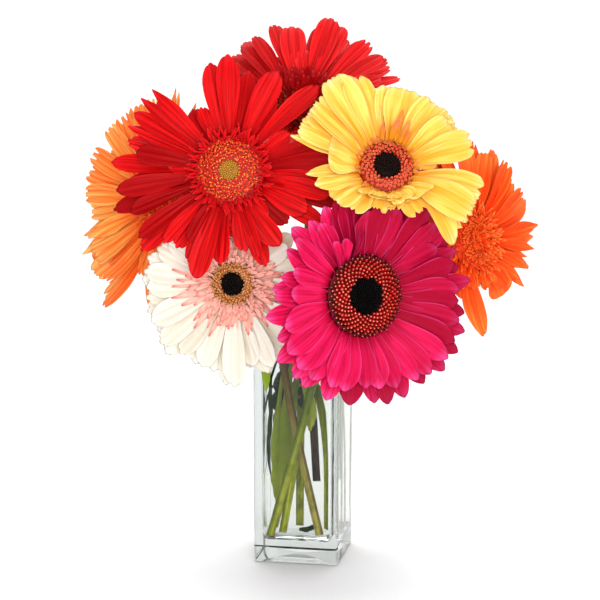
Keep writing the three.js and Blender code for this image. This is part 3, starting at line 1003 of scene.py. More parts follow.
@dataclass(frozen=True)
class Florets:
    """The tube florets of a disc: where they stand, how tall they are and how they open.

    `inner` and `outer` are their heights beside the eye and at the edge, `mouth` and `lobe` the
    sizes of a tube's end, and `threads` the share of them that have a thread. The buds are the
    eye's, and `bud_gaps` is the share that is missing of those that stray out of it.
    """

    form: FloretForm = FloretForm.CURLED
    spacing: float = 1.5
    inner: float = 1.8
    outer: float = 3.8
    lean: float = 46
    mouth: float = 0.46
    lobe: float = 0.6
    thread: float = 1.5
    threads: float = 0.75
    dome: float = 1.2
    bud: float = 1.15
    bud_rise: float = 1.0
    bud_height: float = 1.5
    bud_spread: float = 0.0
    bud_lean: float = 24
    bud_gaps: float = 0.35
    fill: float = 1.0

    def tube(self, tall: float, open_by: float, rng: Generator) -> tuple[Body, np.ndarray]:
        """Makes one tube whose lobes, one on every other side, curl back from its mouth.

        Args:
            tall: Its height.
            open_by: How far its lobes are open, from 0 to 1.
            rng: The seeded source of its unevenness.

        Returns:
            Its body, and the mark of each point.
        """
        turn = clock(TUBE_SIDES) + rng.random()
        tips = np.where(np.arange(TUBE_SIDES) % 2 == 0, 1.0, 0.0)
        mouth = self.mouth * (MOUTH_OPENS[0] + MOUTH_OPENS[1] * open_by)
        reach = self.lobe * (LOBE_OPENS[0] + LOBE_OPENS[1] * open_by)
        reach = (reach + LOBE_UNEVEN * rng.normal(size=TUBE_SIDES)) * tips
        rings = []
        for wide, lobe, high, tip, drop, _ in TUBE:
            r = wide * mouth + lobe * reach
            z = tall * (high + tip * tips) - drop * reach
            rings.append(np.column_stack([r * np.cos(turn), r * np.sin(turn), z]))
        return rings_body(np.array(rings)), marks_of(TUBE, TUBE_SIDES)

    def bead(self, tall: float, rng: Generator) -> tuple[Body, np.ndarray]:
        """Makes one shut floret with a blunt end.

        Args:
            tall: Its height.
            rng: The seeded source of its unevenness.

        Returns:
            Its body, and the mark of each point.
        """
        wide = self.mouth * (1 + 0.1 * rng.normal())
        return turned([(wide * r, tall * z) for r, z, _ in BEAD], BEAD_SIDES), marks_of(BEAD, BEAD_SIDES)

    def style(self, tall: float, rng: Generator) -> tuple[Body, np.ndarray]:
        """Makes the curved thread that stands out of a floret's mouth, with its pollen-dusted end.

        Args:
            tall: The height of the floret that it stands in.
            rng: The seeded source of its bend.

        Returns:
            Its body, and the mark of each point.
        """
        turn = clock(THREAD_SIDES)
        way = 2 * math.pi * rng.random()
        hook = self.thread * (THREAD_HOOKS[0] + THREAD_HOOKS[1] * rng.random())
        rings = []
        for t, thick, _ in THREAD:
            centre = [hook * t * t * math.cos(way), hook * t * t * math.sin(way),
                      THREAD_FROM * tall + self.thread * (t - THREAD_BOWS * t * t)]
            rings.append(np.column_stack([thick * np.cos(turn), thick * np.sin(turn), 0 * turn]) + centre)
        return rings_body(np.array(rings)), marks_of(THREAD, THREAD_SIDES)

    def disc(self, eye: float, edge: float, foot: float, rng: Generator) -> Mesh:
        """Builds the ring of florets on its cushion.

        Args:
            eye: The radius of the closed middle.
            edge: The outside radius.
            foot: The height that they stand on.
            rng: The seeded source of their unevenness.

        Returns:
            The mesh in the head's axes.
        """
        mesh = Mesh()
        crest = foot + self.dome
        # The cushion, from its underside over its edge to the crest beside the eye.
        mesh.plain(turned([(edge - 3.5, foot - 1.4), (edge + 1.2, foot - 1.4), (edge, foot - 0.4),
                           (edge - 2, foot + 0.2), (0.6 * edge + 0.4 * eye, crest), (eye, crest - 0.2)],
                          CUSHION_SIDES))
        neat = self.form is FloretForm.BEADED
        tall_by, lean_by = NEAT if neat else LOOSE
        for radius, turn in spiral(eye + 0.3, self.fill * edge - 1.2, self.spacing):
            out = (radius - eye) / (edge - eye)
            tall = (self.inner + (self.outer - self.inner) * out) * (1 + tall_by * rng.normal())
            lean = self.lean * out ** LEAN_POWER + lean_by * rng.normal()
            stand = crest - ROOTED - self.dome * max(0.0, out - FALLS_FROM) ** FALL_POWER
            tint = rng.random()
            opened = float(ease(out, 0.0, OPEN_AT))
            made = [self.bead(tall, rng) if neat else self.tube(tall, opened, rng)]
            if self.thread > 0 and rng.random() < self.threads:
                made.append(self.style(tall, rng))
            for (points, faces), share in made:
                mesh.plain((stood(points, radius, turn, lean, stand), faces), share, out, tint)
        return mesh

    def eye(self, radius: float, foot: float, rng: Generator) -> Mesh:
        """Builds the closed buds in the middle.

        Args:
            radius: How far they reach from the middle.
            foot: The height that they stand on.
            rng: The seeded source of their unevenness.

        Returns:
            The mesh in the head's axes.
        """
        mesh = Mesh()
        rise = self.dome + self.bud_rise
        # The core that they stand on, from its foot over its edge to its middle.
        mesh.plain(turned([(radius * 0.8, foot), (radius, foot + 0.2), (radius, foot + 0.6 * rise),
                           (radius * 0.7, foot + rise), (0.3, foot + rise * 0.9)], 24))
        for spot, turn in spiral(0, radius - 0.2 + self.bud_spread, self.bud):
            out = spot / radius
            if out > 1 and rng.random() < self.bud_gaps:
                continue
            size = 0.5 * self.bud * (1.05 + 0.08 * rng.normal())
            tall = size * (self.bud_height + 0.3 * rng.normal())
            points, faces = turned([(size * r, tall * z) for r, z, _ in BUD], BUD_SIDES)
            stand = foot + rise * (0.9 + 0.1 * math.sin(math.pi * out)) - 0.3 - 0.5 * out ** 6
            mesh.plain((stood(points, spot, turn, self.bud_lean * out * out, stand), faces),
                       marks_of(BUD, BUD_SIDES), out, rng.random())
        return mesh


@dataclass(frozen=True)
class Bracts:
    """The green cup behind a head, clothed in rows of narrow pointed scales."""

    depth: float = 13
    neck: float = 2.7
    rows: int = 3
    a_row: int = 15
    scale: Petal = Petal(width=4.2, channel=20, spread=16, notch=0, tip=0.55, point=1, belly=0.35,
                         groove=0.12, ruffle=0.1, thickness=0.5)

    def build(self, hub: float, pad: float, pad_top: float, rng: Generator) -> Mesh:
        """Builds the cup and its scales.

        Args:
            hub: The radius at which the petals leave the head.
            pad: The radius of the pad that carries the florets.
            pad_top: The height of the pad.
            rng: The seeded source of the scales' unevenness.

        Returns:
            The mesh in the head's axes.
        """
        mesh = Mesh()
        # The cup, from its neck up round the hub to the pad.
        mesh.plain(turned([(self.neck, -self.depth), (self.neck + 1.2, -self.depth + 1.6),
                           (hub * 0.48, -7.6), (hub * 0.72, -5), (hub * 0.9, -2.4), (hub - 0.8, -0.5),
                           (pad, -0.1), (pad, pad_top), (pad * 0.5, pad_top)], 36), share=0.6)
        for row in range(self.rows):
            share = row / (self.rows - 1)
            start = self.neck + 0.8 + (hub * 0.55 - self.neck) * share
            foot = -self.depth + 1.4 + 6.2 * share
            for i in range(self.a_row):
                angle = 360 * (i + 0.5 * (row % 2)) / self.a_row + 3 * rng.normal()
                reach = start + (hub * 0.72) * (1 + 0.08 * rng.normal())
                scale = self.scale.at(angle, reach, rise=52 - 34 * share, bend=12 - 6 * share)
                mesh.add(*scale.uneven(rng, 0.5).sheet(start, foot, small=True))
        return mesh


@dataclass(frozen=True)
class Stalk:
    """A bare flower stem: round, finely ribbed, a little thicker under the head, cut at the foot."""

    radius: float = 2.3
    top_radius: float = 2.9
    ribs: int = 9
    rib_depth: float = 0.1
    sides: int = 27
    stations: int = 90
    slant: float = 0.6
    bevel: float = 0.14

    def build(self, route: list[Place], rng: Generator) -> Mesh:
        """Sweeps the stem along its route.

        Args:
            route: Points from behind the head down to the cut.
            rng: The seeded source of its unevenness.

        Returns:
            The mesh in the frame's axes, with the cut face as its second material.
        """
        line = smooth_path(route, self.stations)
        along = unit(np.gradient(line, axis=0))
        side = unit(np.cross(along[0], [1, 0.2, 0.1]))
        turn = clock(self.sides)
        share = np.linspace(0, 1, self.stations)
        swell = self.radius + (self.top_radius - self.radius) * (1 - ease(share, 0, 0.12))
        swell = swell * (1 + 0.02 * np.sin(9 * share + 6 * rng.random()))
        rings = []
        for i, way in enumerate(along):
            side = unit(side - way * (side @ way))
            other = np.cross(way, side)
            ribbed = swell[i] - self.rib_depth * (1 + np.cos(self.ribs * turn + 2 * share[i])) / 2
            rings.append(line[i] + np.outer(ribbed * np.cos(turn), side)
                         + np.outer(ribbed * np.sin(turn), other))
        rings[-1] = rings[-1] - along[-1] * self.slant * (1 + np.cos(turn))[:, None]
        rings.append((1 - self.bevel) * rings[-1] + self.bevel * rings[-1].mean(axis=0))
        mesh = Mesh()
        mesh.plain(rings_body(np.array(rings)), np.repeat(np.append(share, 1.0), self.sides),
                   np.tile(2 * np.abs(turn / math.pi - 1) - 1, len(rings)), rng.random())
        mesh.dress[-1] = 1
        return mesh


# ---------------- the varieties

STALK_START = (-0.6, 7)             # the stalk's first two points, behind the end of the green cup
FRILL_UNEVEN = (4, 0.14, 4, 0.12)   # how its petals differ in angle, reach, rise and width


@dataclass(frozen=True)
class Frill:
    """One row of short petals between the long ones and the disc.

    They run from the radius `start` to `reach`, and `height` is that of their root.
    """

    start: float
    reach: float
    count: int
    rise: float
    width: float
    height: float = 0.5
    bend: float = 8
    uneven: float = 1.4

    def petals(self, like: Petal, row: int, rng: Generator) -> list[Petal]:
        """Lays out the row.

        Args:
            like: What its petals are like.
            row: Its number, counted from the longest.
            rng: The seeded source of their unevenness.

        Returns:
            The petals.
        """
        turn, far, lift, wide = FRILL_UNEVEN
        made = []
        for i in range(self.count):
            angle = 360 * (i + 0.5 * row) / self.count + turn * rng.normal()
            reach = self.start + (self.reach - self.start) * (1 + far * rng.normal())
            petal = like.at(angle, reach, rise=self.rise + lift * rng.normal(), bend=self.bend,
                            width=self.width * (1 + wide * rng.normal()))
            made.append(petal.uneven(rng, self.uneven))
        return made


@dataclass(frozen=True)
class Variety:
    """The finishes, the disc and the frill of one kind of gerbera."""

    petals: PetalFinish
    trans: PetalFinish
    florets: FloretFinish
    buds: FloretFinish
    disc: Florets
    frills: tuple[Frill, ...]
    short: Petal = Petal(channel=62, spread=40, notch=0, groove=0.1, tip=0.4, point=0.5, ruffle=0.35,
                         thickness=0.3)


@dataclass
class Gerbera:
    """One flower: its bracts, petals, trans florets, disc, eye and stem.

    Its hub stands out by `brim` from under the disc, and the long petals leave it `root_inset`
    further in, every other one of a whorl higher by `overlap`.
    """

    name: str
    variety: Variety
    outer: list[Petal]
    inner: list[Petal]
    route: list[Place]
    seed: int
    extra: list[Petal] = field(default_factory=list)
    bracts: Bracts = Bracts()
    stalk: Stalk = Stalk()
    stalk_skin: str = "stalk"
    brim: float = 1.8
    root_inset: float = 2
    outer_height: float = 0.4
    inner_height: float = 1.9
    overlap: float = 0.45
    pad_inset: float = 4.5
    pad_gap: float = 0.1

    def whorl(self, petals: list[Petal], start: float, height: float, rng: Generator) -> Mesh:
        """Builds one whorl of petals.

        Args:
            petals: Its petals.
            start: The radius at which they leave the head.
            height: The height there.
            rng: The seeded source of their unevenness.

        Returns:
            The mesh in the head's axes.
        """
        mesh = Mesh()
        for i, petal in enumerate(petals):
            mesh.add(*petal.uneven(rng).sheet(start, height + self.overlap * (i % 2)))
        return mesh

    def frill(self, low: float, rng: Generator) -> Mesh:
        """Builds the rows of short petals between the long ones and the disc.

        Args:
            low: The height that their rows are counted from.
            rng: The seeded source of their unevenness.

        Returns:
            The mesh in the head's axes.
        """
        mesh = Mesh()
        frills = self.variety.frills
        for row, frill in enumerate(frills):
            for petal in frill.petals(self.variety.short, row, rng):
                mesh.add(*petal.sheet(frill.start, low + frill.height, small=True))
        for petal in self.extra:
            mesh.add(*petal.uneven(rng).sheet(frills[0].start, low + frills[0].height, small=True))
        return mesh

    def build(self, skins: Skins) -> None:
        """Builds and dresses every piece of the flower.

        Args:
            skins: The green and brown materials by name.
        """
        rng = np.random.default_rng(self.seed)
        name, kind = self.name, self.variety
        axes = Axes.of_head(name, self.bracts.depth)
        edge = axes.radius(f"{name}_disc_florets")
        eye = axes.radius(f"{name}_disc_eye")
        pad_top = axes.height(f"{name}_calyx")[1]
        low = axes.height(f"{name}_trans_florets")[0]
        petal_skin = kind.petals.material()
        hub = edge + self.brim
        start, foot = hub - self.root_inset, pad_top + self.pad_gap
        pieces = [
            ("outer_rays", "outer_petals", "petal", self.whorl(self.outer, start, self.outer_height, rng),
             petal_skin),
            ("inner_rays", "inner_petals", "petal", self.whorl(self.inner, start, self.inner_height, rng),
             petal_skin),
            ("short_rays", "trans_florets", "trans", self.frill(low, rng), kind.trans.material()),
            ("tube_florets", "disc_florets", "disc", kind.disc.disc(eye, edge, foot, rng),
             kind.florets.material()),
            ("closed_buds", "disc_eye", "eye", kind.disc.eye(eye, foot, rng), kind.buds.material()),
        ]
        for made, node, slot, mesh, skin in pieces:
            mesh.piece(f"{name}_{made}", axes, [skin], [f"{name}_{node}"], f"{name}_{slot}")
        cup = self.bracts.build(hub, edge - self.pad_inset, pad_top, rng)
        cup.piece(f"{name}_bracts", axes, [skins["bract"]], [f"{name}_calyx"], "calyx_green")
        behind = [tuple(axes.origin - axes.out * (self.bracts.depth + far)) for far in STALK_START]
        stem = self.stalk.build([*behind, *self.route], rng)
        stem.piece(f"{name}_stalk", WORLD_AXES, [skins[self.stalk_skin], skins["pith"]],
                   [f"{name}_stem"], "stem_green")


# ---------------- leaves


@dataclass(frozen=True)
class Leaf:
    """One or more blades along curves, with a midrib, side veins and lobed or torn edges.

    `profile` gives the width from base to tip, as shares of a blade's greatest width. `more` are
    further blades by width and path, and `petiole` is the path of a stalk that hangs loose.
    """

    name: str
    width: float
    across: Place
    points: list[Place]
    skin: str
    seed: int
    lobes: float = 3
    lobe_depth: float = 0.22
    profile: tuple[tuple[float, float], ...] = ((0, 0.3), (0.3, 0.8), (0.6, 1), (0.85, 0.7), (1, 0.1))
    cup: float = 20
    sway: float = 0.0
    thickness: float = 0.5
    nibbled: float = 0.06
    midrib: float = 0.35
    midrib_width: float = 0.12
    veins: int = 6
    vein_height: float = 0.12
    stations: int = 60
    more: tuple[tuple[float, list[Place]], ...] = ()
    petiole: tuple[Place, ...] = ()
    petiole_stalk: Stalk = Stalk(radius=0.7, top_radius=0.91, ribs=3, sides=9, stations=30)

    def blade(self, width: float, points: list[Place], rng: Generator) -> Sheet:
        """Shapes one blade.

        Args:
            width: Its greatest width.
            points: Points that its midrib passes through.
            rng: The seeded source of its unevenness.

        Returns:
            Points, faces and marks for Mesh.add.
        """
        line = smooth_path(points, self.stations)
        along = unit(np.gradient(line, axis=0))
        side = unit(np.array(self.across, float))
        side = unit(side - along * (along @ side)[:, None])
        up = np.cross(side, along)

        # The outline, with lobes and nibbles.
        share = np.linspace(0, 1, self.stations)[:, None]
        across = COLUMNS[None, :] * np.ones((self.stations, 1))
        away = np.abs(across)
        shift = rng.random(2)
        wave = np.abs(np.sin(math.pi * (self.lobes * share + np.where(across > 0, shift[0], shift[1]))))
        reach = 1 - self.lobe_depth * (1 - wave ** 0.6)
        reach = reach - self.nibbled * rng.random((self.stations, 1))
        half = width / 2 * np.interp(share, *zip(*self.profile)) * reach

        # The section: cupped, with a midrib and veins.
        bent = np.radians(self.cup) * across
        x = half * np.sin(bent) / np.radians(self.cup)
        x = x + self.sway * np.sin(3 * math.pi * share + 6 * shift[0])
        z = half * (1 - np.cos(bent)) / np.radians(self.cup)
        z = z - self.midrib * hill(across, 0, self.midrib_width)
        z = z + self.vein_height * np.sin(2 * math.pi * (self.veins * share + away)) * away
        thick = self.thickness * (1 - away ** 6)
        top = line[:, None] + x[..., None] * side[:, None] + z[..., None] * up[:, None]
        under = top - thick[..., None] * up[:, None]
        marks = np.stack([share + 0 * across, across, np.full_like(across, rng.random())], axis=-1)
        return closed_sheet(top, under, marks)

    def build(self, skins: Skins) -> None:
        """Builds and dresses the leaf.

        Args:
            skins: The green materials by name.
        """
        rng = np.random.default_rng(self.seed)
        mesh = Mesh()
        for width, points in ((self.width, self.points), *self.more):
            mesh.add(*self.blade(width, points, rng))
        if self.petiole:
            thin = self.petiole_stalk.build(list(self.petiole), rng)
            mesh.add(np.vstack(thin.points), thin.faces, np.vstack(thin.marks))
        mesh.piece(f"{self.name}_blade", WORLD_AXES, [skins[self.skin]], [self.name], "leaf_green")


# ---------------- vase and water

HOLLOW_RINGS = (0.1, 0.3, 0.5, 0.7, 0.85, 1)        # rings under the foot, from its middle out
FLOOR_RINGS = (0.1, 0.3, 0.5, 0.7, 0.85, 0.94)      # rings of the floor inside, in the same way


def square_ring(half: float, corner: float, height: float, steps: int = 8) -> np.ndarray:
    """Gives a level ring in the shape of a square with rounded corners.

    Args:
        half: Half its width.
        corner: Its corners' radius.
        height: Its height.
        steps: How many points each corner has, less one.

    Returns:
        The ring's points, anticlockwise from above.
    """
    corner = min(corner, half)
    points = []
    for k in range(4):
        middle = math.radians(45 + 90 * k)
        centre = (half - corner) * math.sqrt(2) * np.array([math.cos(middle), math.sin(middle)])
        for turn in np.linspace(middle - math.pi / 4, middle + math.pi / 4, steps + 1):
            points.append([*(centre + corner * np.array([math.cos(turn), math.sin(turn)])), height])
    return np.array(points)


def dished(half: float, level: float, sag: float, shares: tuple[float, ...]) -> list[np.ndarray]:
    """Gives the rings of a level square face whose middle sags.

    Args:
        half: Half its width.
        level: The height of its edge.
        sag: How much lower its middle is.
        shares: The rings' widths as shares of the face's.

    Returns:
        The rings, in the order of `shares`.
    """
    return [square_ring(half * share, 0.6 * share, level - sag * (1 - share ** 2)) for share in shares]


@dataclass(frozen=True)
class Vase:
    """The square vase and the water in it. The glass was pressed, then fire-polished.

    The foot's lowest edge is an opaque dark matt band, a painted contact shadow, and the foot has a
    `hollow` inside that edge. The water reaches into the glass by `overlap`, so that no film of air
    shows between them.
    """

    wall: float = 4.2
    base: float = 12
    corner: float = 1.6
    inside_corner: float = 3
    inside_fillet: float = 4
    dish: float = 1.4
    edge: float = 0.8
    edge_steps: int = 6
    # How high the painted contact shadow band at the foot's edge reaches.
    foot_shadow: float = 0.3
    hollow: float = 1.6
    foot_width: float = 4
    overlap: float = 0.1
    meniscus: float = 1.3
    meniscus_width: float = 2.6
    meniscus_steps: int = 6
    still_inset: float = 8

    def bend(self, half: float, corner: float, level: float, radius: float, out: int, up: int
             ) -> list[np.ndarray]:
        """Gives the rings of a rounded edge between a side and a level face.

        Args:
            half: Half the width of the side.
            corner: The corner radius of the side.
            level: The height of the level face.
            radius: The edge's radius.
            out: -1 if the rings go from the level face to the side, and 1 the other way.
            up: 1 if the level face is above the edge, and -1 if it is below.

        Returns:
            The rings, in order.
        """
        turns = np.linspace(0, math.pi / 2, self.edge_steps + 1)[::out]
        return [square_ring(half - radius * (1 - math.cos(t)),
                            max(corner - radius * (1 - math.cos(t)), 0.1),
                            level - up * radius * (1 - math.sin(t))) for t in turns]

    def body(self, rings: list[np.ndarray], name: str, skins: list[bpy.types.Material], node: str,
             slot: str) -> None:
        """Builds the body that rings go round, with a painted shadow band at its foot's edge.

        Args:
            rings: The rings, from the middle below to the last one inside or on top.
            name: The piece's name.
            skins: Its material, and that of the painted shadow band at the foot if it has one.
            node: The CAD node that it replaces.
            slot: Passed on to Mesh.piece.
        """
        points, faces = rings_body(np.array(rings))
        mesh = Mesh()
        mesh.plain((points, faces), tint=0)
        if len(skins) > 1:
            # The lowest faces round the foot's edge take the second material, an opaque dark band that is
            # a painted contact shadow.
            outmost = np.abs(points[:, :2]).max(axis=1)
            rim = outmost.max() - self.edge - 0.01
            mesh.dress = [int(points[row, 2].max() <= self.foot_shadow and outmost[row].min() > rim)
                          for row in faces]
        made = mesh.piece(name, WORLD_AXES, skins, [node], slot)
        # Keeps the wide faces flat to the eye, so that only the rounded edges catch light.
        weigh = made.modifiers.new("even_flats", "WEIGHTED_NORMAL")
        weigh.keep_sharp = True
        weigh.weight = 100

    def build(self) -> None:
        """Builds and dresses the glass and the water."""
        low, high = (np.array(corner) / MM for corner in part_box("vase"))
        half, top = (high[0] - low[0]) / 2, high[2]
        inner = half - self.wall
        rings = dished(half - self.foot_width, 0, -self.hollow, HOLLOW_RINGS)
        rings += self.bend(half, self.corner, 0, self.edge, -1, -1)
        rings += self.bend(half, self.corner, top, self.edge, 1, 1)
        for t in np.linspace(0, math.pi / 2, self.edge_steps + 1):
            round_off = self.edge * (1 - math.sin(t))
            rings.append(square_ring(inner + round_off, self.inside_corner + round_off,
                                     top - self.edge * (1 - math.cos(t))))
        rings += self.bend(inner, self.inside_corner, self.base, self.inside_fillet, 1, -1)
        rings += dished(inner - self.inside_fillet, self.base, self.dish, FLOOR_RINGS[::-1])
        glass = ClearFinish("soda_lime_glass", "#fdfefd", ior=1.5, wave_size=16, wave_depth=0.06,
                            depth_tint="#b0bab6", density=13)
        # A dark matt band at the foot's edge: a painted contact shadow.
        foot_shadow = MattFinish("painted_foot_shadow", "#484c44")
        self.body(rings, "square_vase", [glass.material(), foot_shadow.material()], "vase", "vase_glass")

        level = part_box("water")[1][2] / MM
        wet, bed = inner + self.overlap, self.base - self.overlap
        rings = dished(wet - self.inside_fillet, bed, self.dish, FLOOR_RINGS)
        rings += self.bend(wet, self.inside_corner, bed, self.inside_fillet, -1, -1)
        rings += [square_ring(wet - self.meniscus_width * (1 - (1 - t) ** 2), self.inside_corner,
                              level + self.meniscus * (1 - t) ** 2.2)
                  for t in np.linspace(0, 1, self.meniscus_steps + 1)]
        rings += [square_ring(wet - self.still_inset, 0.5, level)]
        water = ClearFinish("still_water", "#fdfefc", ior=1.33, wave_size=20, wave_depth=0.02,
                            depth_tint="#b8c2bc", density=10)
        self.body(rings, "water_body", [water.material()], "water", "water")


# ---------------- studio


@dataclass(frozen=True)
class Studio:
    """The camera, a pale paper floor and soft light."""

    distance: float = 1300
    azimuth: float = 10.73
    elevation: float = 10.77
    lens: float = 139.3
    sensor: float = 36
    clip_end: float = 50000
    aim: Place = (-1.9, -0.35, 146.2)
    floor: float = 12000
    floor_drop: float = 0.3
    sky: float = 0.35
    horizon: float = 1.22
    sky_from: float = 0.7
    sun: float = 2.55
    sun_azimuth: float = 192
    sun_elevation: float = 73
    sun_softness: float = 50
    fill: float = 17
    fill_size: float = 900
    fill_azimuth: float = 16
    fill_elevation: float = 14
    fill_distance: float = 1600

    def place(self, name: str, data: bpy.types.ID, azimuth: float, elevation: float, far: float
              ) -> bpy.types.Object:
        """Puts a camera or lamp round the object, so that it looks at the aim.

        Args:
            name: Its name.
            data: The camera or lamp.
            azimuth: Its direction from the front, towards the object's right.
            elevation: Its height over the level, as an angle.
            far: Its distance from the aim.

        Returns:
            The object.
        """
        a, e = math.radians(azimuth), math.radians(elevation)
        way = Vector((math.sin(a) * math.cos(e), -math.cos(a) * math.cos(e), math.sin(e)))
        made = put(name, data)
        made.location = (Vector(self.aim) + way * far) * MM
        made.rotation_euler = way.to_track_quat("Z", "Y").to_euler()
        return made

    def build(self) -> None:
        """Sets up the camera, the floor and the light."""
        scene = bpy.context.scene
        lens = bpy.data.cameras.new("camera")
        lens.lens, lens.sensor_width, lens.clip_end = self.lens, self.sensor, self.clip_end * MM
        scene.camera = self.place("camera", lens, self.azimuth, self.elevation, self.distance)

        data = bpy.data.meshes.new("floor")
        far, low = self.floor * MM, -self.floor_drop * MM
        data.from_pydata([(-far, -far, low), (far, -far, low), (far, far, low), (-far, far, low)], [],
                         [[0, 1, 2, 3]])
        data.materials.append(MattFinish("studio_paper", "#f3f4f5").material())
        put("floor", data)

        sun = bpy.data.lights.new("soft_key", "SUN")
        sun.energy, sun.angle = self.sun, math.radians(self.sun_softness)
        self.place("soft_key", sun, self.sun_azimuth, self.sun_elevation, 0)
        box = bpy.data.lights.new("low_softbox", "AREA")
        box.energy, box.size = self.fill, self.fill_size * MM
        self.place("low_softbox", box, self.fill_azimuth, self.fill_elevation, self.fill_distance)

        world = bpy.data.worlds.new("studio")
        world.use_nodes = True
        tree = world.node_tree
        tree.nodes.clear()
        apart = add_node(tree, "SeparateXYZ", {}, {
            0: add_node(tree, "TexCoord").outputs["Generated"]})
        bright = add_node(tree, "MapRange", SMOOTH, {
            0: apart.outputs[2], 1: 0.0, 2: self.sky_from, 3: self.horizon, 4: self.sky})
        sky = add_node(tree, "Background", {}, {
            "Color": linear("#ffffff"), "Strength": bright.outputs[0]})
        add_node(tree, "OutputWorld", {}, {0: sky.outputs[0]})
        scene.world = world
        scene.view_settings.view_transform = "Standard"


# ---------------- the seven flowers

# Each flower lists its petals one by one, because no two of them stand alike: the clock angle in
# degrees, 0 being to the right and 90 up, then the reach from the middle and the width. Petals at
# the end of a list fill gaps. The route runs from behind the head down to the cut, and the flower
# adds the two points behind the head.
# Painted shade on the magenta petals: the deepest tint, and what every other petal gets on top.
DEEPEST_SHADE, EVERY_OTHER_SHADE = 0.8, 0.2     # tints of the magenta petals, see shaded()


def red_front() -> Gerbera:
    """The large scarlet flower in front.

    Returns:
        The flower, ready to build.
    """
    petals = PetalFinish("scarlet_petal", body="#e80c10", root="#bc0408", tip="#f41c24", deep="#980004",
                         back="#b81018", lines=0.52, vary=0.9, edge=0.3, gloss=0.08)
    variety = Variety(
        petals=petals, trans=replace(petals, name="scarlet_short_petal", body="#f41418", root="#dc0c10",
                                     tip="#fc4448", lines=0.25, vary=0.3, glow=0.04),
        florets=FloretFinish("scarlet_tube_floret", "#b80c04", "#e82408", "#ffb848", rim="#dc1008",
                             end_from=0.76),
        buds=FloretFinish("khaki_bud", "#8c5c10", "#b47c20", "#c89838"),
        disc=Florets(fill=0.88),
        frills=(Frill(16.0, 31.0, 22, 5, 8.0, -2.6), Frill(17.6, 24.5, 46, 12, 2.0),
                Frill(16.6, 22.5, 54, 24, 1.5, 0.8), Frill(15.6, 20.5, 60, 38, 1.2, 1.4),
                Frill(14.6, 18.5, 60, 54, 1.0, 2.0)))
    below = Petal(rise=5, bend=20, width=10.5)
    slim = {"notch": 0.3, "split": 0, "tip": 0.45, "point": 0.7}
    outer = laid(
        below, (81, 56), (60, 47), (12, 54), (353, 60, 10), (346, 60), (331, 58), (318, 42),
        (294, 55, 11.5), (276, 36, 10), (248, 54), (236, 51), (221, 65), (199, 67, 11.5), (186, 58),
        (176, 66), (163, 60), (140, 56), (124, 40, 10), (98, 52))
    above = replace(below, rise=16, bend=24)
    inner = laid(
        above, (103, 59, 11.5), (92, 63, 13), (66, 59, 14), (46, 66, 11), (30, 38, 9), (17, 57),
        (7, 56, 10), (356, 49, 9), (348, 57), (341, 33, 6.5, {"channel": 80, "spread": 60}),
        (333, 48, 13), (302, 49, 12.5), (292, 50, 7.5), (283, 45), (265, 51, 11.5),
        (255, 61, 13.5, {"bend": 30, "notch": 0.2}), (242, 44, 10), (229, 53, 8), (217, 61),
        (205, 58, 11, {"channel": 70, "spread": 45}), (191, 62, 11), (169, 52, 12.5), (156, 61, 10, slim),
        (150, 61, 9.5), (143, 62, 9.5, slim), (134, 61, 8.5, slim), (117, 38, 8))
    route = [(-33, -26, 213), (-27, -17, 196), (-14, -6, 158), (-1, -0.6, 126), (5.2, -0.6, 97),
             (9, 0, 43)]
    return Gerbera("red_front", variety, outer, inner, route, seed=11, stalk_skin="brown_stalk")


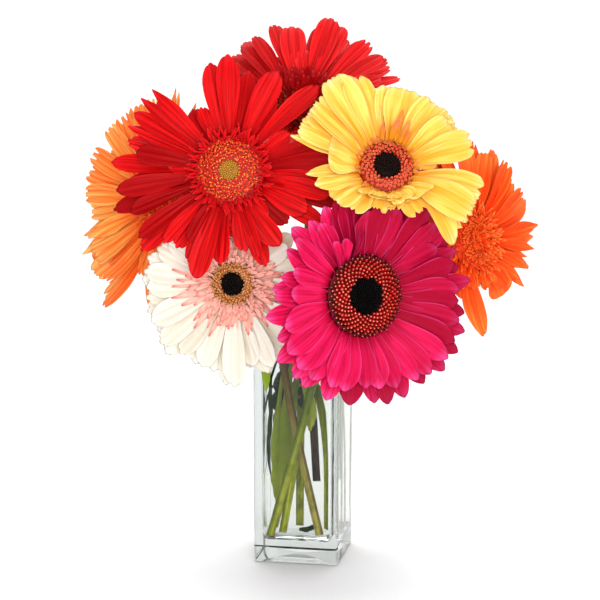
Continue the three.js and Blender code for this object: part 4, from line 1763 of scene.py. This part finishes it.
def yellow() -> Gerbera:
    """The wide, cupped yellow flower.

    Returns:
        The flower, ready to build.
    """
    petals = PetalFinish("yellow_petal", body="#fcdc68", root="#f8a01c", tip="#fdeea4", deep="#f4ac24",
                         back="#f6c83c", streak="#f49018", streaks=0.9, streak_to=0.85, root_to=0.45,
                         vary=0.3, ribs=0.25, edge=0.35)
    variety = Variety(
        petals=petals, trans=replace(petals, name="coral_short_petal", root="#f8a020", body="#f49028",
                                     tip="#f0686c", tip_from=0.3, back="#f06040"),
        florets=FloretFinish("brick_tube_floret", "#a41804", "#ec4c20", "#ffc890", end_from=0.62),
        buds=FloretFinish("brown_bud", "#080202", "#140604", "#24100a", gloss=0.15),
        disc=Florets(spacing=1.75, mouth=0.58, thread=0.5, lobe=0.62, outer=2.8, bud_spread=0.8,
                     bud_height=2.2),
        frills=(Frill(13.6, 17.5, 34, 28, 2.6),))
    below = Petal(rise=32, bend=26, width=15, notch=2.2, split=1.8, tip=0.15, point=0, channel=30,
                  belly=0.7, thickness=0.3)
    steep = {"rise": 50, "bend": 8}
    slim = {"notch": 0.3, "split": 0, "point": 0.5, "tip": 0.4}
    # Petals with a tint of 1 are the deep colour all over: painted shade on petals that lie behind the
    # others.
    in_shade = {"rise": 28, "tint": 1}
    outer = laid(
        below, (118, 56, 17), (134, 52), (147, 53, 13), (157, 54), (166, 56, 9, slim), (187, 46, 10, slim),
        (197, 43, 13, slim), (216, 38, 17), (231, 35, 16), (256, 27, steep), (281, 30, steep),
        (299, 35, {"bend": 16, "tint": 1}), (319, 56, 16), (336, 53, 16), (15, 47), (27, 45, 16),
        (38, 46, 14), (61, 45, 18), (84, 46, 19))
    above = replace(below, rise=38, bend=28, width=18)
    inner = laid(
        above, (124, 58, 21), (143, 54, 17), (109, 53), (76, 45, 19), (50, 45, 20), (12, 49),
        (331, 56, 22), (323, 59), (308, 34, 14, steep), (291, 29, 15, steep), (266, 25, 16, steep),
        (240, 25, 16, steep),
        (168, 34, 26, {"rise": 34, "bend": 10, "notch": 0.3, "split": 0}), (30, 42, 15),
        (321, 57, 12.5, {"rise": 32, "bend": 34, "channel": 40, "notch": 0.6, "split": 0.6, "tip": 0.22,
                         "sway": -16, "ruffle": 0.9, "tint": 0.6}),
        (250, 27, 13, in_shade), (278, 27, 13, in_shade), (2, 27, 8, in_shade))
    curl = Petal(rise=52, bend=-20, width=4, channel=75, spread=60, notch=0, point=0.6, tip=0.5,
                 thickness=0.3)
    extra = laid(
        curl, (98, 27), (80, 30, 5), (71, 33, {"bend": 30}), (60, 30, {"bend": 10}), (52, 27))
    route = [(44, -19, 206), (34, -10, 180), (20, -6, 142), (14, -6, 122), (3, -6, 84), (-10, -6, 13.3)]
    return Gerbera("yellow", variety, outer, inner, route, seed=12, extra=extra)


def shaded(whorl: list[Petal], left: float, foot: float) -> list[Petal]:
    """Paints shade on each petal by where it stands, every other one a little deeper.

    Args:
        whorl: The petals.
        left: The tint of those that face left.
        foot: The tint of those that hang down. Those on the right and top, under the yellow flower, get
            the deepest painted shade.

    Returns:
        The tinted petals.
    """
    tints = [DEEPEST_SHADE if petal.angle < 112 or petal.angle > 328 else foot if petal.angle > 245 else left
             for petal in whorl]
    return [replace(petal, tint=EVERY_OTHER_SHADE * (i % 2) + tint)
            for i, (petal, tint) in enumerate(zip(whorl, tints))]


def magenta() -> Gerbera:
    """The round magenta flower with the black eye.

    Returns:
        The flower, ready to build.
    """
    petals = PetalFinish("magenta_petal", body="#fa1c60", root="#c40630", tip="#fc509c", deep="#a00228",
                         back="#b82868", glow=0.16, ribs=0.25, lines=0.4, vary=0.9, edge=0.35, gloss=0.06)
    variety = Variety(
        petals=petals, trans=replace(petals, name="magenta_short_petal", body="#981030", root="#50081c"),
        # The pale ends of these shut florets are partly their own colour and partly a painted highlight.
        florets=FloretFinish("maroon_floret", "#480402", "#a80a06", "#f8b08c", rim="#300606", base_shade_to=0.7,
                             end_from=0.93, gloss=0.16),
        buds=FloretFinish("black_bud", "#030202", "#060404", "#0a0606", gloss=0.1),
        disc=Florets(form=FloretForm.BEADED, spacing=2.0, inner=2.0, outer=3.0, lean=58, mouth=0.95,
                     thread=0, dome=1.0, bud=1.15, bud_height=3.0, bud_spread=2.4),
        frills=(Frill(20.0, 23.0, 60, 34, 1.3),))
    below = Petal(rise=16, bend=14, channel=26, spread=-10, notch=0.25, tip=0.3, point=0.25, groove=0.22)
    outer = laid(
        below, (1, 63, 12.5), (347, 62), (335, 64), (326, 64), (318, 65, 12.5), (301, 60), (291, 61),
        (281, 60, 12.5), (272, 58, 13), (257, 59, 15.5), (242, 60, 13.5), (227, 61, 14), (218, 63, 13),
        (208, 64, 12.5), (188, 62), (177, 56, 11), (172, 56, 11.5), (163, 52, 11), (152, 56, 11),
        (137, 59), (130, 54, 10), (124, 49, 13), (117, 55), (109, 55, 10), (101, 54, 14.5), (88, 52, 13),
        (77, 53, 15), (62, 57, 14), (52, 61, 12.5), (43, 63, 12.5), (35, 62), (27, 61), (19, 61),
        (11, 60), (198, 58))
    above = replace(below, rise=26, width=13)
    folded = {"rise": 48, "bend": 10, "channel": 95, "spread": 85}
    inner = laid(
        above, (2, 55, 13.5), (352, 55), (341, 57), (330, 58), (318, 59), (306, 57), (296, 55, 12),
        (284, 53, 13.5), (275, 51), (264, 50, 14), (250, 54, 14), (239, 55, 14), (227, 57, 14),
        (217, 58, 15), (204, 60, 14), (189, 57, 14), (174, 49, 12), (158, 50, 12), (146, 58),
        (130, 48, 10, folded), (119, 42, 9.5, folded), (104, 46, 6.5, folded), (93, 48, 14), (80, 52, 15),
        (67, 51, 15), (49, 59, 15), (31, 50, 13.5), (15, 55), (40, 57, 11))
    # Painted shade: the outer whorl, which lies behind, is deeper than the inner one.
    outer, inner = shaded(outer, 0.3, 0.75), shaded(inner, 0.04, 0.48)
    route = [(23, -33, 155), (16, -22, 138), (12.4, -15.3, 124), (6, -16.4, 92), (-15.7, -16.2, 13.3)]
    return Gerbera("magenta", variety, outer, inner, route, seed=13)


def white() -> Gerbera:
    """The cream-white flower with the pink frill.

    Returns:
        The flower, ready to build.
    """
    petals = PetalFinish("cream_petal", body="#f4efe4", root="#f2dcc6", tip="#f8f4ec", deep="#e2d2b4",
                         back="#e6dcb0", edge=0.1, vary=0.25, ribs=0.35, lines=0.25)
    short = Petal(channel=45, spread=25, notch=0, split=1.2, groove=0.1, tip=0.5, point=0.6, ruffle=0.4,
                  thickness=0.3)
    variety = Variety(
        petals=petals,
        trans=PetalFinish("pink_short_petal", body="#ffc0ae", root="#fab4a0", tip="#f04c50",
                          deep="#f89484", back="#fcd8cc", tip_from=0.66, glow=0.06, ribs=0.05,
                          lines=0.12, vary=0.25, edge=0),
        florets=FloretFinish("tan_tube_floret", "#b4682c", "#dc9450", "#f8dcb4", rim="#fcb8a4"),
        buds=FloretFinish("black_bud", "#080403", "#0c0604", "#140c08", gloss=0.15),
        disc=Florets(spacing=1.35, outer=3.2, thread=0.8, lobe=0.42, mouth=0.4, bud_height=2.6,
                     bud_spread=0.8),
        frills=(Frill(14.0, 29.0, 44, 7, 3.0, bend=2), Frill(13.6, 27.0, 44, 10, 2.9, 0.8, bend=2),
                Frill(13.0, 24.5, 44, 14, 2.7, 1.1, bend=2),
                Frill(12.2, 21.5, 44, 19, 2.4, 1.4, bend=2),
                Frill(11.4, 18.5, 44, 26, 2.1, 1.6, bend=2),
                Frill(10.6, 15.5, 44, 36, 1.7, 1.8)),
        short=short)
    below = Petal(rise=9, bend=14, channel=30, groove=0.35, notch=0.7, thickness=0.35)
    outer = laid(
        below, (151, 46), (166, 50, 11), (179, 52), (192, 51), (200, 54), (213, 53, 14), (227, 57, 13),
        (243, 51, 14), (258, 52), (266, 57, 11), (279, 48), (291, 53), (305, 50), (320, 46),
        (335, 41, 11), (350, 40, 11), (8, 38, 11), (26, 41), (41, 42), (58, 42, 11), (76, 40, 11),
        (95, 40, 11), (113, 40, 11), (132, 43, 11))
    above = replace(below, rise=16, bend=12, width=11)
    inner = laid(
        above, (158, 46, 12), (173, 50, 12), (186, 49, 12), (205, 51, 14.5), (220, 54, 14), (236, 50, 13),
        (250, 50, 13), (272, 57, 14), (285, 47, 12), (298, 51, 12), (312, 46, 12), (328, 42, 12),
        (343, 38), (0, 37), (18, 38), (36, 40, 12), (54, 40), (72, 38), (92, 38), (112, 38), (130, 40),
        (145, 42))
    route = [(-27, -20, 156), (-19, -14, 139), (-11, -12, 122), (-4.5, -11.4, 88), (2, -11.2, 58),
             (12, -9, 13.4)]
    extra = laid(
        replace(short, rise=13, bend=6, width=3), (150, 31), (157, 34), (163, 31, 3.2), (170, 36),
        (177, 33, 3.2), (184, 37), (191, 34, 3.4), (198, 37), (205, 33, 3.4), (213, 36), (221, 32, 3.2),
        (229, 35), (238, 32, 3.2), (249, 34), (262, 31), (276, 33), (290, 31))
    return Gerbera("white", variety, outer, inner, route, seed=14, extra=extra, stalk_skin="tan_stalk")


def orange_variety(name: str, body: str, deep: str, tip: str) -> Variety:
    """The finishes that the two orange flowers share.

    Args:
        name: A word for this shade of orange.
        body: The petals' colour.
        deep: The redder colour at their root, and painted shade in their folds.
        tip: Their paler tips and edges.

    Returns:
        The variety.
    """
    petals = PetalFinish(f"{name}_petal", body=body, root=deep, tip=tip, deep=deep, back="#f09040",
                         tip_from=0.5, root_to=0.5, vary=0.6, edge=0.5, gloss=0.08)
    return Variety(
        petals=petals, trans=replace(petals, name=f"{name}_short_petal", body="#ff5018", root="#fc4010",
                                     tip="#ff9440", back="#fc5c18", glow=0.03, lines=0.15, vary=0.2),
        florets=FloretFinish(f"{name}_tube_floret", "#f04010", "#ff6018", "#ff9c38", rim="#fc4810"),
        buds=FloretFinish(f"{name}_bud", "#e03808", "#f45810", "#fc9030"),
        disc=Florets(fill=0.85),
        frills=(Frill(15.6, 24.0, 42, 14, 2.2), Frill(14.4, 21.0, 50, 30, 1.6, 1.0),
                Frill(13.2, 18.0, 54, 46, 1.2, 1.8), Frill(10.0, 15.5, 40, 58, 1.6, 2.2),
                Frill(6.5, 12.5, 30, 66, 1.8, 2.6), Frill(2.5, 8.5, 16, 74, 1.8, 2.8)))


def orange_right() -> Gerbera:
    """The deep orange flower on the right.

    Returns:
        The flower, ready to build.
    """
    below = Petal(rise=7, bend=15, width=10.5, notch=2.2, tip=0.18, split=1.0, point=0)
    flat = {"bend": -6}
    low = {"rise": 3, "bend": 10}
    sharp = {"notch": 0.3, "split": 0, "tip": 0.5, "point": 0.8}
    outer = laid(
        below, (87, 60), (75, 58, 15), (56, 59, 13), (43, 55, 12.5), (31, 52, 12), (15, 55, 12),
        (354, 55, 11.5, sharp), (342, 46, 6, sharp), (335, 53, 9, sharp), (321, 50, 9, sharp),
        (302, 39, 17, {"notch": 0.3, "split": 0, "tint": 0.7}), (284, 29, 12, flat), (266, 27, 12, flat),
        (243, 50, 19, {"sway": 21, "notch": 0.4, "split": 0, "point": 0.3, "tip": 0.35}),
        (231, 40, 11, flat), (213, 40, flat), (195, 40, flat), (177, 40, flat), (158, 40, flat),
        (132, 60, 14), (119, 61, 14), (106, 58, 14))
    above = replace(below, rise=14, bend=14, width=14)
    inner = laid(
        above, (67, 53), (50, 54, 13), (38, 50, 12.5), (25, 51, 12), (2, 53, 11, sharp),
        (350, 47, 8, sharp), (334, 44, 8, sharp), (317, 40, 6.5, sharp | {"channel": 75, "spread": 55}),
        (300, 33, {"notch": 0.4}), (278, 27, 11, flat), (260, 26, 11, flat), (240, 30, 11, flat),
        (220, 38, 10.5, flat), (200, 38, 10.5, flat), (180, 38, 10.5, flat), (160, 38, 10.5, flat),
        (144, 46, 11), (126, 58), (112, 58), (98, 55), (84, 54), (152, 45, 15, flat), (128, 56, 17, low),
        (113, 56, 17, low))
    route = [(70, 30, 171), (48, 28, 156), (24, 17, 137), (14.6, 11.5, 122), (2, 10.6, 84),
             (-16.8, 6, 13.6)]
    variety = orange_variety("deep_orange", "#fc5c1a", "#f4380a", "#fc8834")
    return Gerbera("orange_right", variety, outer, inner, route, seed=15)


def orange_left() -> Gerbera:
    """The light orange flower on the left.

    Returns:
        The flower, ready to build.
    """
    below = Petal(rise=8, bend=16, width=10.5, notch=4.2, split=2.2, tip=0.16, point=0, groove=0.5)
    sharp = {"notch": 0.6, "split": 0, "tip": 0.5, "point": 0.8}
    short = {"bend": -8, "notch": 1.5, "split": 0}
    outer = laid(
        below, (90, 63, 6, sharp), (84, 61, 7, sharp), (73, 58, 7, sharp), (103, 59, 12), (119, 60, 12),
        (133, 59, 13), (160, 60, 14), (174, 63, 13), (186, 60, 12), (196, 58, 11), (204, 69, 12, sharp),
        (211, 72, 12, sharp), (224, 68, 13, {"sway": -6}), (231, 72, 15, {"sway": -8}),
        (250, 73, 14, {"sway": -20}), (257, 72, 12, {"sway": -20}), (266, 62, 10, {"tint": 1}),
        (284, 38, 11, short), (299, 37, short), (315, 37, short), (333, 38, short), (351, 38, short),
        (9, 40, short), (27, 42), (44, 46), (60, 50))
    above = replace(below, rise=15, width=12)
    inner = laid(
        above, (96, 53, 11), (111, 57), (126, 57, 13), (138, 57), (148, 47, 13), (158, 57), (168, 59, 13),
        (181, 57, 13), (193, 56), (208, 58, 11, sharp), (218, 61, {"sway": -5}), (229, 60, {"sway": -8}),
        (240, 54, {"sway": -10}), (252, 60, {"sway": -18}), (262, 46, 11), (276, 38, 11, short),
        (293, 36, 10.5, short), (311, 36, 10.5, short), (330, 36, 10.5, short), (350, 37, 10.5, short),
        (10, 38, 10.5), (30, 40, 10.5), (48, 44, 10.5), (66, 58, 8, sharp), (82, 52, 11))
    route = [(-58, 12, 192), (-34, 12, 164), (-12, 6.5, 136), (-1, 5, 120), (9, 5.6, 92), (13.6, 8, 60),
             (14.2, 9, 13.2)]
    variety = orange_variety("light_orange", "#fea648", "#fa5814", "#fdc068")
    return Gerbera("orange_left", variety, outer, inner, route, seed=16)


def red_back() -> Gerbera:
    """The dark red flower that looks up at the back.

    Returns:
        The flower, ready to build.
    """
    petals = PetalFinish("crimson_petal", body="#fc1c20", root="#980408", tip="#ff3838", deep="#a80408",
                         back="#b01018", lines=0.5, vary=0.65, edge=0.5)
    variety = Variety(
        petals=petals, trans=replace(petals, name="crimson_short_petal", body="#d00c14", root="#980408"),
        florets=FloretFinish("crimson_tube_floret", "#8c0c04", "#cc2410", "#f0a838", rim="#b80c0c"),
        buds=FloretFinish("olive_bud", "#5c4c14", "#7c6820", "#948030"),
        disc=Florets(),
        frills=(Frill(16.2, 26.0, 30, 22, 3.4), Frill(14.5, 24.0, 28, 38, 3.4, 1.2),
                Frill(12.0, 23.0, 24, 52, 3.6, 1.8), Frill(9.0, 21.0, 20, 62, 3.8, 2.0),
                Frill(5.5, 17.0, 14, 70, 3.8, 2.2), Frill(2.0, 12.0, 8, 78, 3.6, 2.2)))
    below = Petal(rise=15, bend=18, width=11, notch=1.8, split=0.8, tip=0.18, point=0)
    outer = laid(
        below, (126, 57, 12), (114, 42), (102, 55, 12), (89, 40), (78, 58, 13), (63, 59, 12), (52, 57, 8),
        (37, 61, 10.5), (26, 57), (17, 59, 7.5), (2, 50), (346, 48), (328, 46), (310, 46), (292, 46),
        (274, 46), (256, 46), (238, 46), (220, 46), (202, 48), (184, 50), (166, 52), (149, 53), (137, 54))
    above = replace(below, rise=23, bend=16)
    inner = laid(
        above, (122, 53), (107, 57), (97, 54, 15.5), (86, 38), (72, 60, 14), (65, 58), (44, 57),
        (31, 55), (12, 48), (354, 46), (335, 44), (316, 42), (297, 42), (278, 42), (259, 42), (240, 42),
        (221, 42), (202, 44), (184, 46), (165, 48), (147, 50), (134, 50))
    route = [(-4, 31, 226), (-3, 31, 190), (-2, 22, 145), (-1.5, 16.2, 122), (-2.5, 16.2, 80),
             (-3, 16, 13.2)]
    return Gerbera("red_back", variety, outer, inner, route, seed=17)


def leaves() -> list[Leaf]:
    """The four pieces of leaf in and over the vase.

    Returns:
        The leaves, ready to build.
    """
    torn = ((0, 0.2), (0.25, 0.4), (0.5, 0.7), (0.7, 0.95), (0.84, 1.12), (0.88, 0.75), (0.93, 0.7),
            (0.95, 0.4), (1, 0.25))
    ragged = ((0, 0.3), (0.2, 0.7), (0.4, 1.05), (0.6, 1.2), (0.75, 1.15), (0.9, 0.8), (1, 0.3))
    return [
        Leaf("leaf_fresh", 7, (0.95, 0.1, 0.2),
             [(-10, -12, 129.5), (-12.5, -18, 131), (-14.5, -23.5, 129), (-15.6, -26.6, 121),
              (-15.8, -27, 110), (-16, -26.8, 99)], "fresh_leaf", seed=1, lobes=2),
        Leaf("leaf_broad", 10.5, (0.95, 0.2, 0),
             [(-3.6, -3, 125), (-6, -2.6, 104), (-9, -1.6, 78), (-11.6, -1, 54), (-13, -0.8, 27)],
             "leaf", seed=2, lobes=5, lobe_depth=0.2, profile=torn, sway=0.4, cup=35,
             more=((8, [(1, -5, 124), (3, -6.4, 108), (5.4, -7.4, 92), (6.4, -7.8, 74)]),
                   (8, [(-2, 3, 124), (-3.4, 3.6, 104), (-6, 4, 80), (-8, 4, 52)]),
                   (5, [(-7, -5, 123), (-10.4, -5, 104), (-13.2, -4.6, 80), (-14.6, -4.4, 54),
                        (-15, -4.4, 44)]))),
        Leaf("leaf_dark", 10, (1, 0.2, 0),
             [(-6.2, 8, 123), (-10.6, 9.4, 105), (-12.6, 9.6, 88), (-12.8, 9.6, 72), (-12.6, 9.6, 56)],
             "dark_leaf", seed=3, lobes=6, lobe_depth=0.42, profile=ragged, sway=0.8,
             more=((2.6, [(-11, 3, 118), (-17.8, 2, 98), (-18.3, 1, 72), (-18, 1, 46)]),
                   (12, [(-1, 9, 123), (2, 10.4, 108), (3, 11, 94), (2, 11.4, 80)]),
                   (9, [(-8, 12, 123), (-9.4, 12.6, 112), (-10.4, 12.8, 100), (-10, 12.6, 90)])),
             petiole=((-11, 10.6, 98), (-16.4, 5, 97), (-18.2, -6, 92.5), (-19.1, -18.2, 85))),
        Leaf("leaf_fallen", 7, (0.3, 0.75, 0.5), [(-1.5, 3, 14.4), (3, 2, 15), (7, 1, 17), (11, 0, 20)],
             "dark_leaf", seed=4),
    ]


def green_skins() -> Skins:
    """Makes the skins of the stalks, cups and leaves.

    Returns:
        The materials by name.
    """
    finishes = {
        # The stalks' `sides` paint shade down two of their sides.
        "stalk": GreenFinish("gerbera_stalk", "#64840c", "#fcff50", "#4c6408", "#9cb04c", gloss=0.12,
                             sides=0.7),
        "brown_stalk": GreenFinish("old_stalk", "#5c4c14", "#58443c", "#20140c", "#9cb04c", gloss=0.08,
                                   sides=0.8),
        "tan_stalk": GreenFinish("tanned_stalk", "#7c5c20", "#f4e870", "#5c3c10", "#9cb04c", gloss=0.08,
                                 sides=0.75),
        "pith": GreenFinish("cut_pith", "#c8d0a0", "#c8d0a0", "#a8b078", "#c8d0a0"),
        "bract": GreenFinish("downy_bract", "#6c8038", "#7c9440", "#4c6424", "#60782c", piece=(4, 12),
                             rib=(0.5, 2.4), down=0.3),
        "leaf": GreenFinish("fresh_leaf", "#74980c", "#ffff5c", "#4c6804", "#d8ec50", piece=(10.4, 110),
                            rib=(1.3, 22), gloss=0.12, glow=0.35),
        "fresh_leaf": GreenFinish("young_leaf", "#4c6c08", "#88a420", "#3c5808", "#90a838", piece=(7, 35),
                                  rib=(0.7, 7), gloss=0.08, glow=0.15),
        "dark_leaf": GreenFinish("wet_dark_leaf", "#203808", "#40600c", "#101c04", "#34501c",
                                 piece=(9.8, 70), rib=(0.7, 14), gloss=0.1),
    }
    return {name: finish.material() for name, finish in finishes.items()}


def main() -> None:
    """Builds every piece in order."""
    logging.basicConfig(level=logging.INFO, format="%(name)s %(message)s")
    Studio().build()
    skins = green_skins()
    for make in (red_front, yellow, magenta, white, orange_right, orange_left, red_back):
        make().build(skins)
    for leaf in leaves():
        leaf.build(skins)
    Vase().build()


if __name__ == "__main__":
    main()
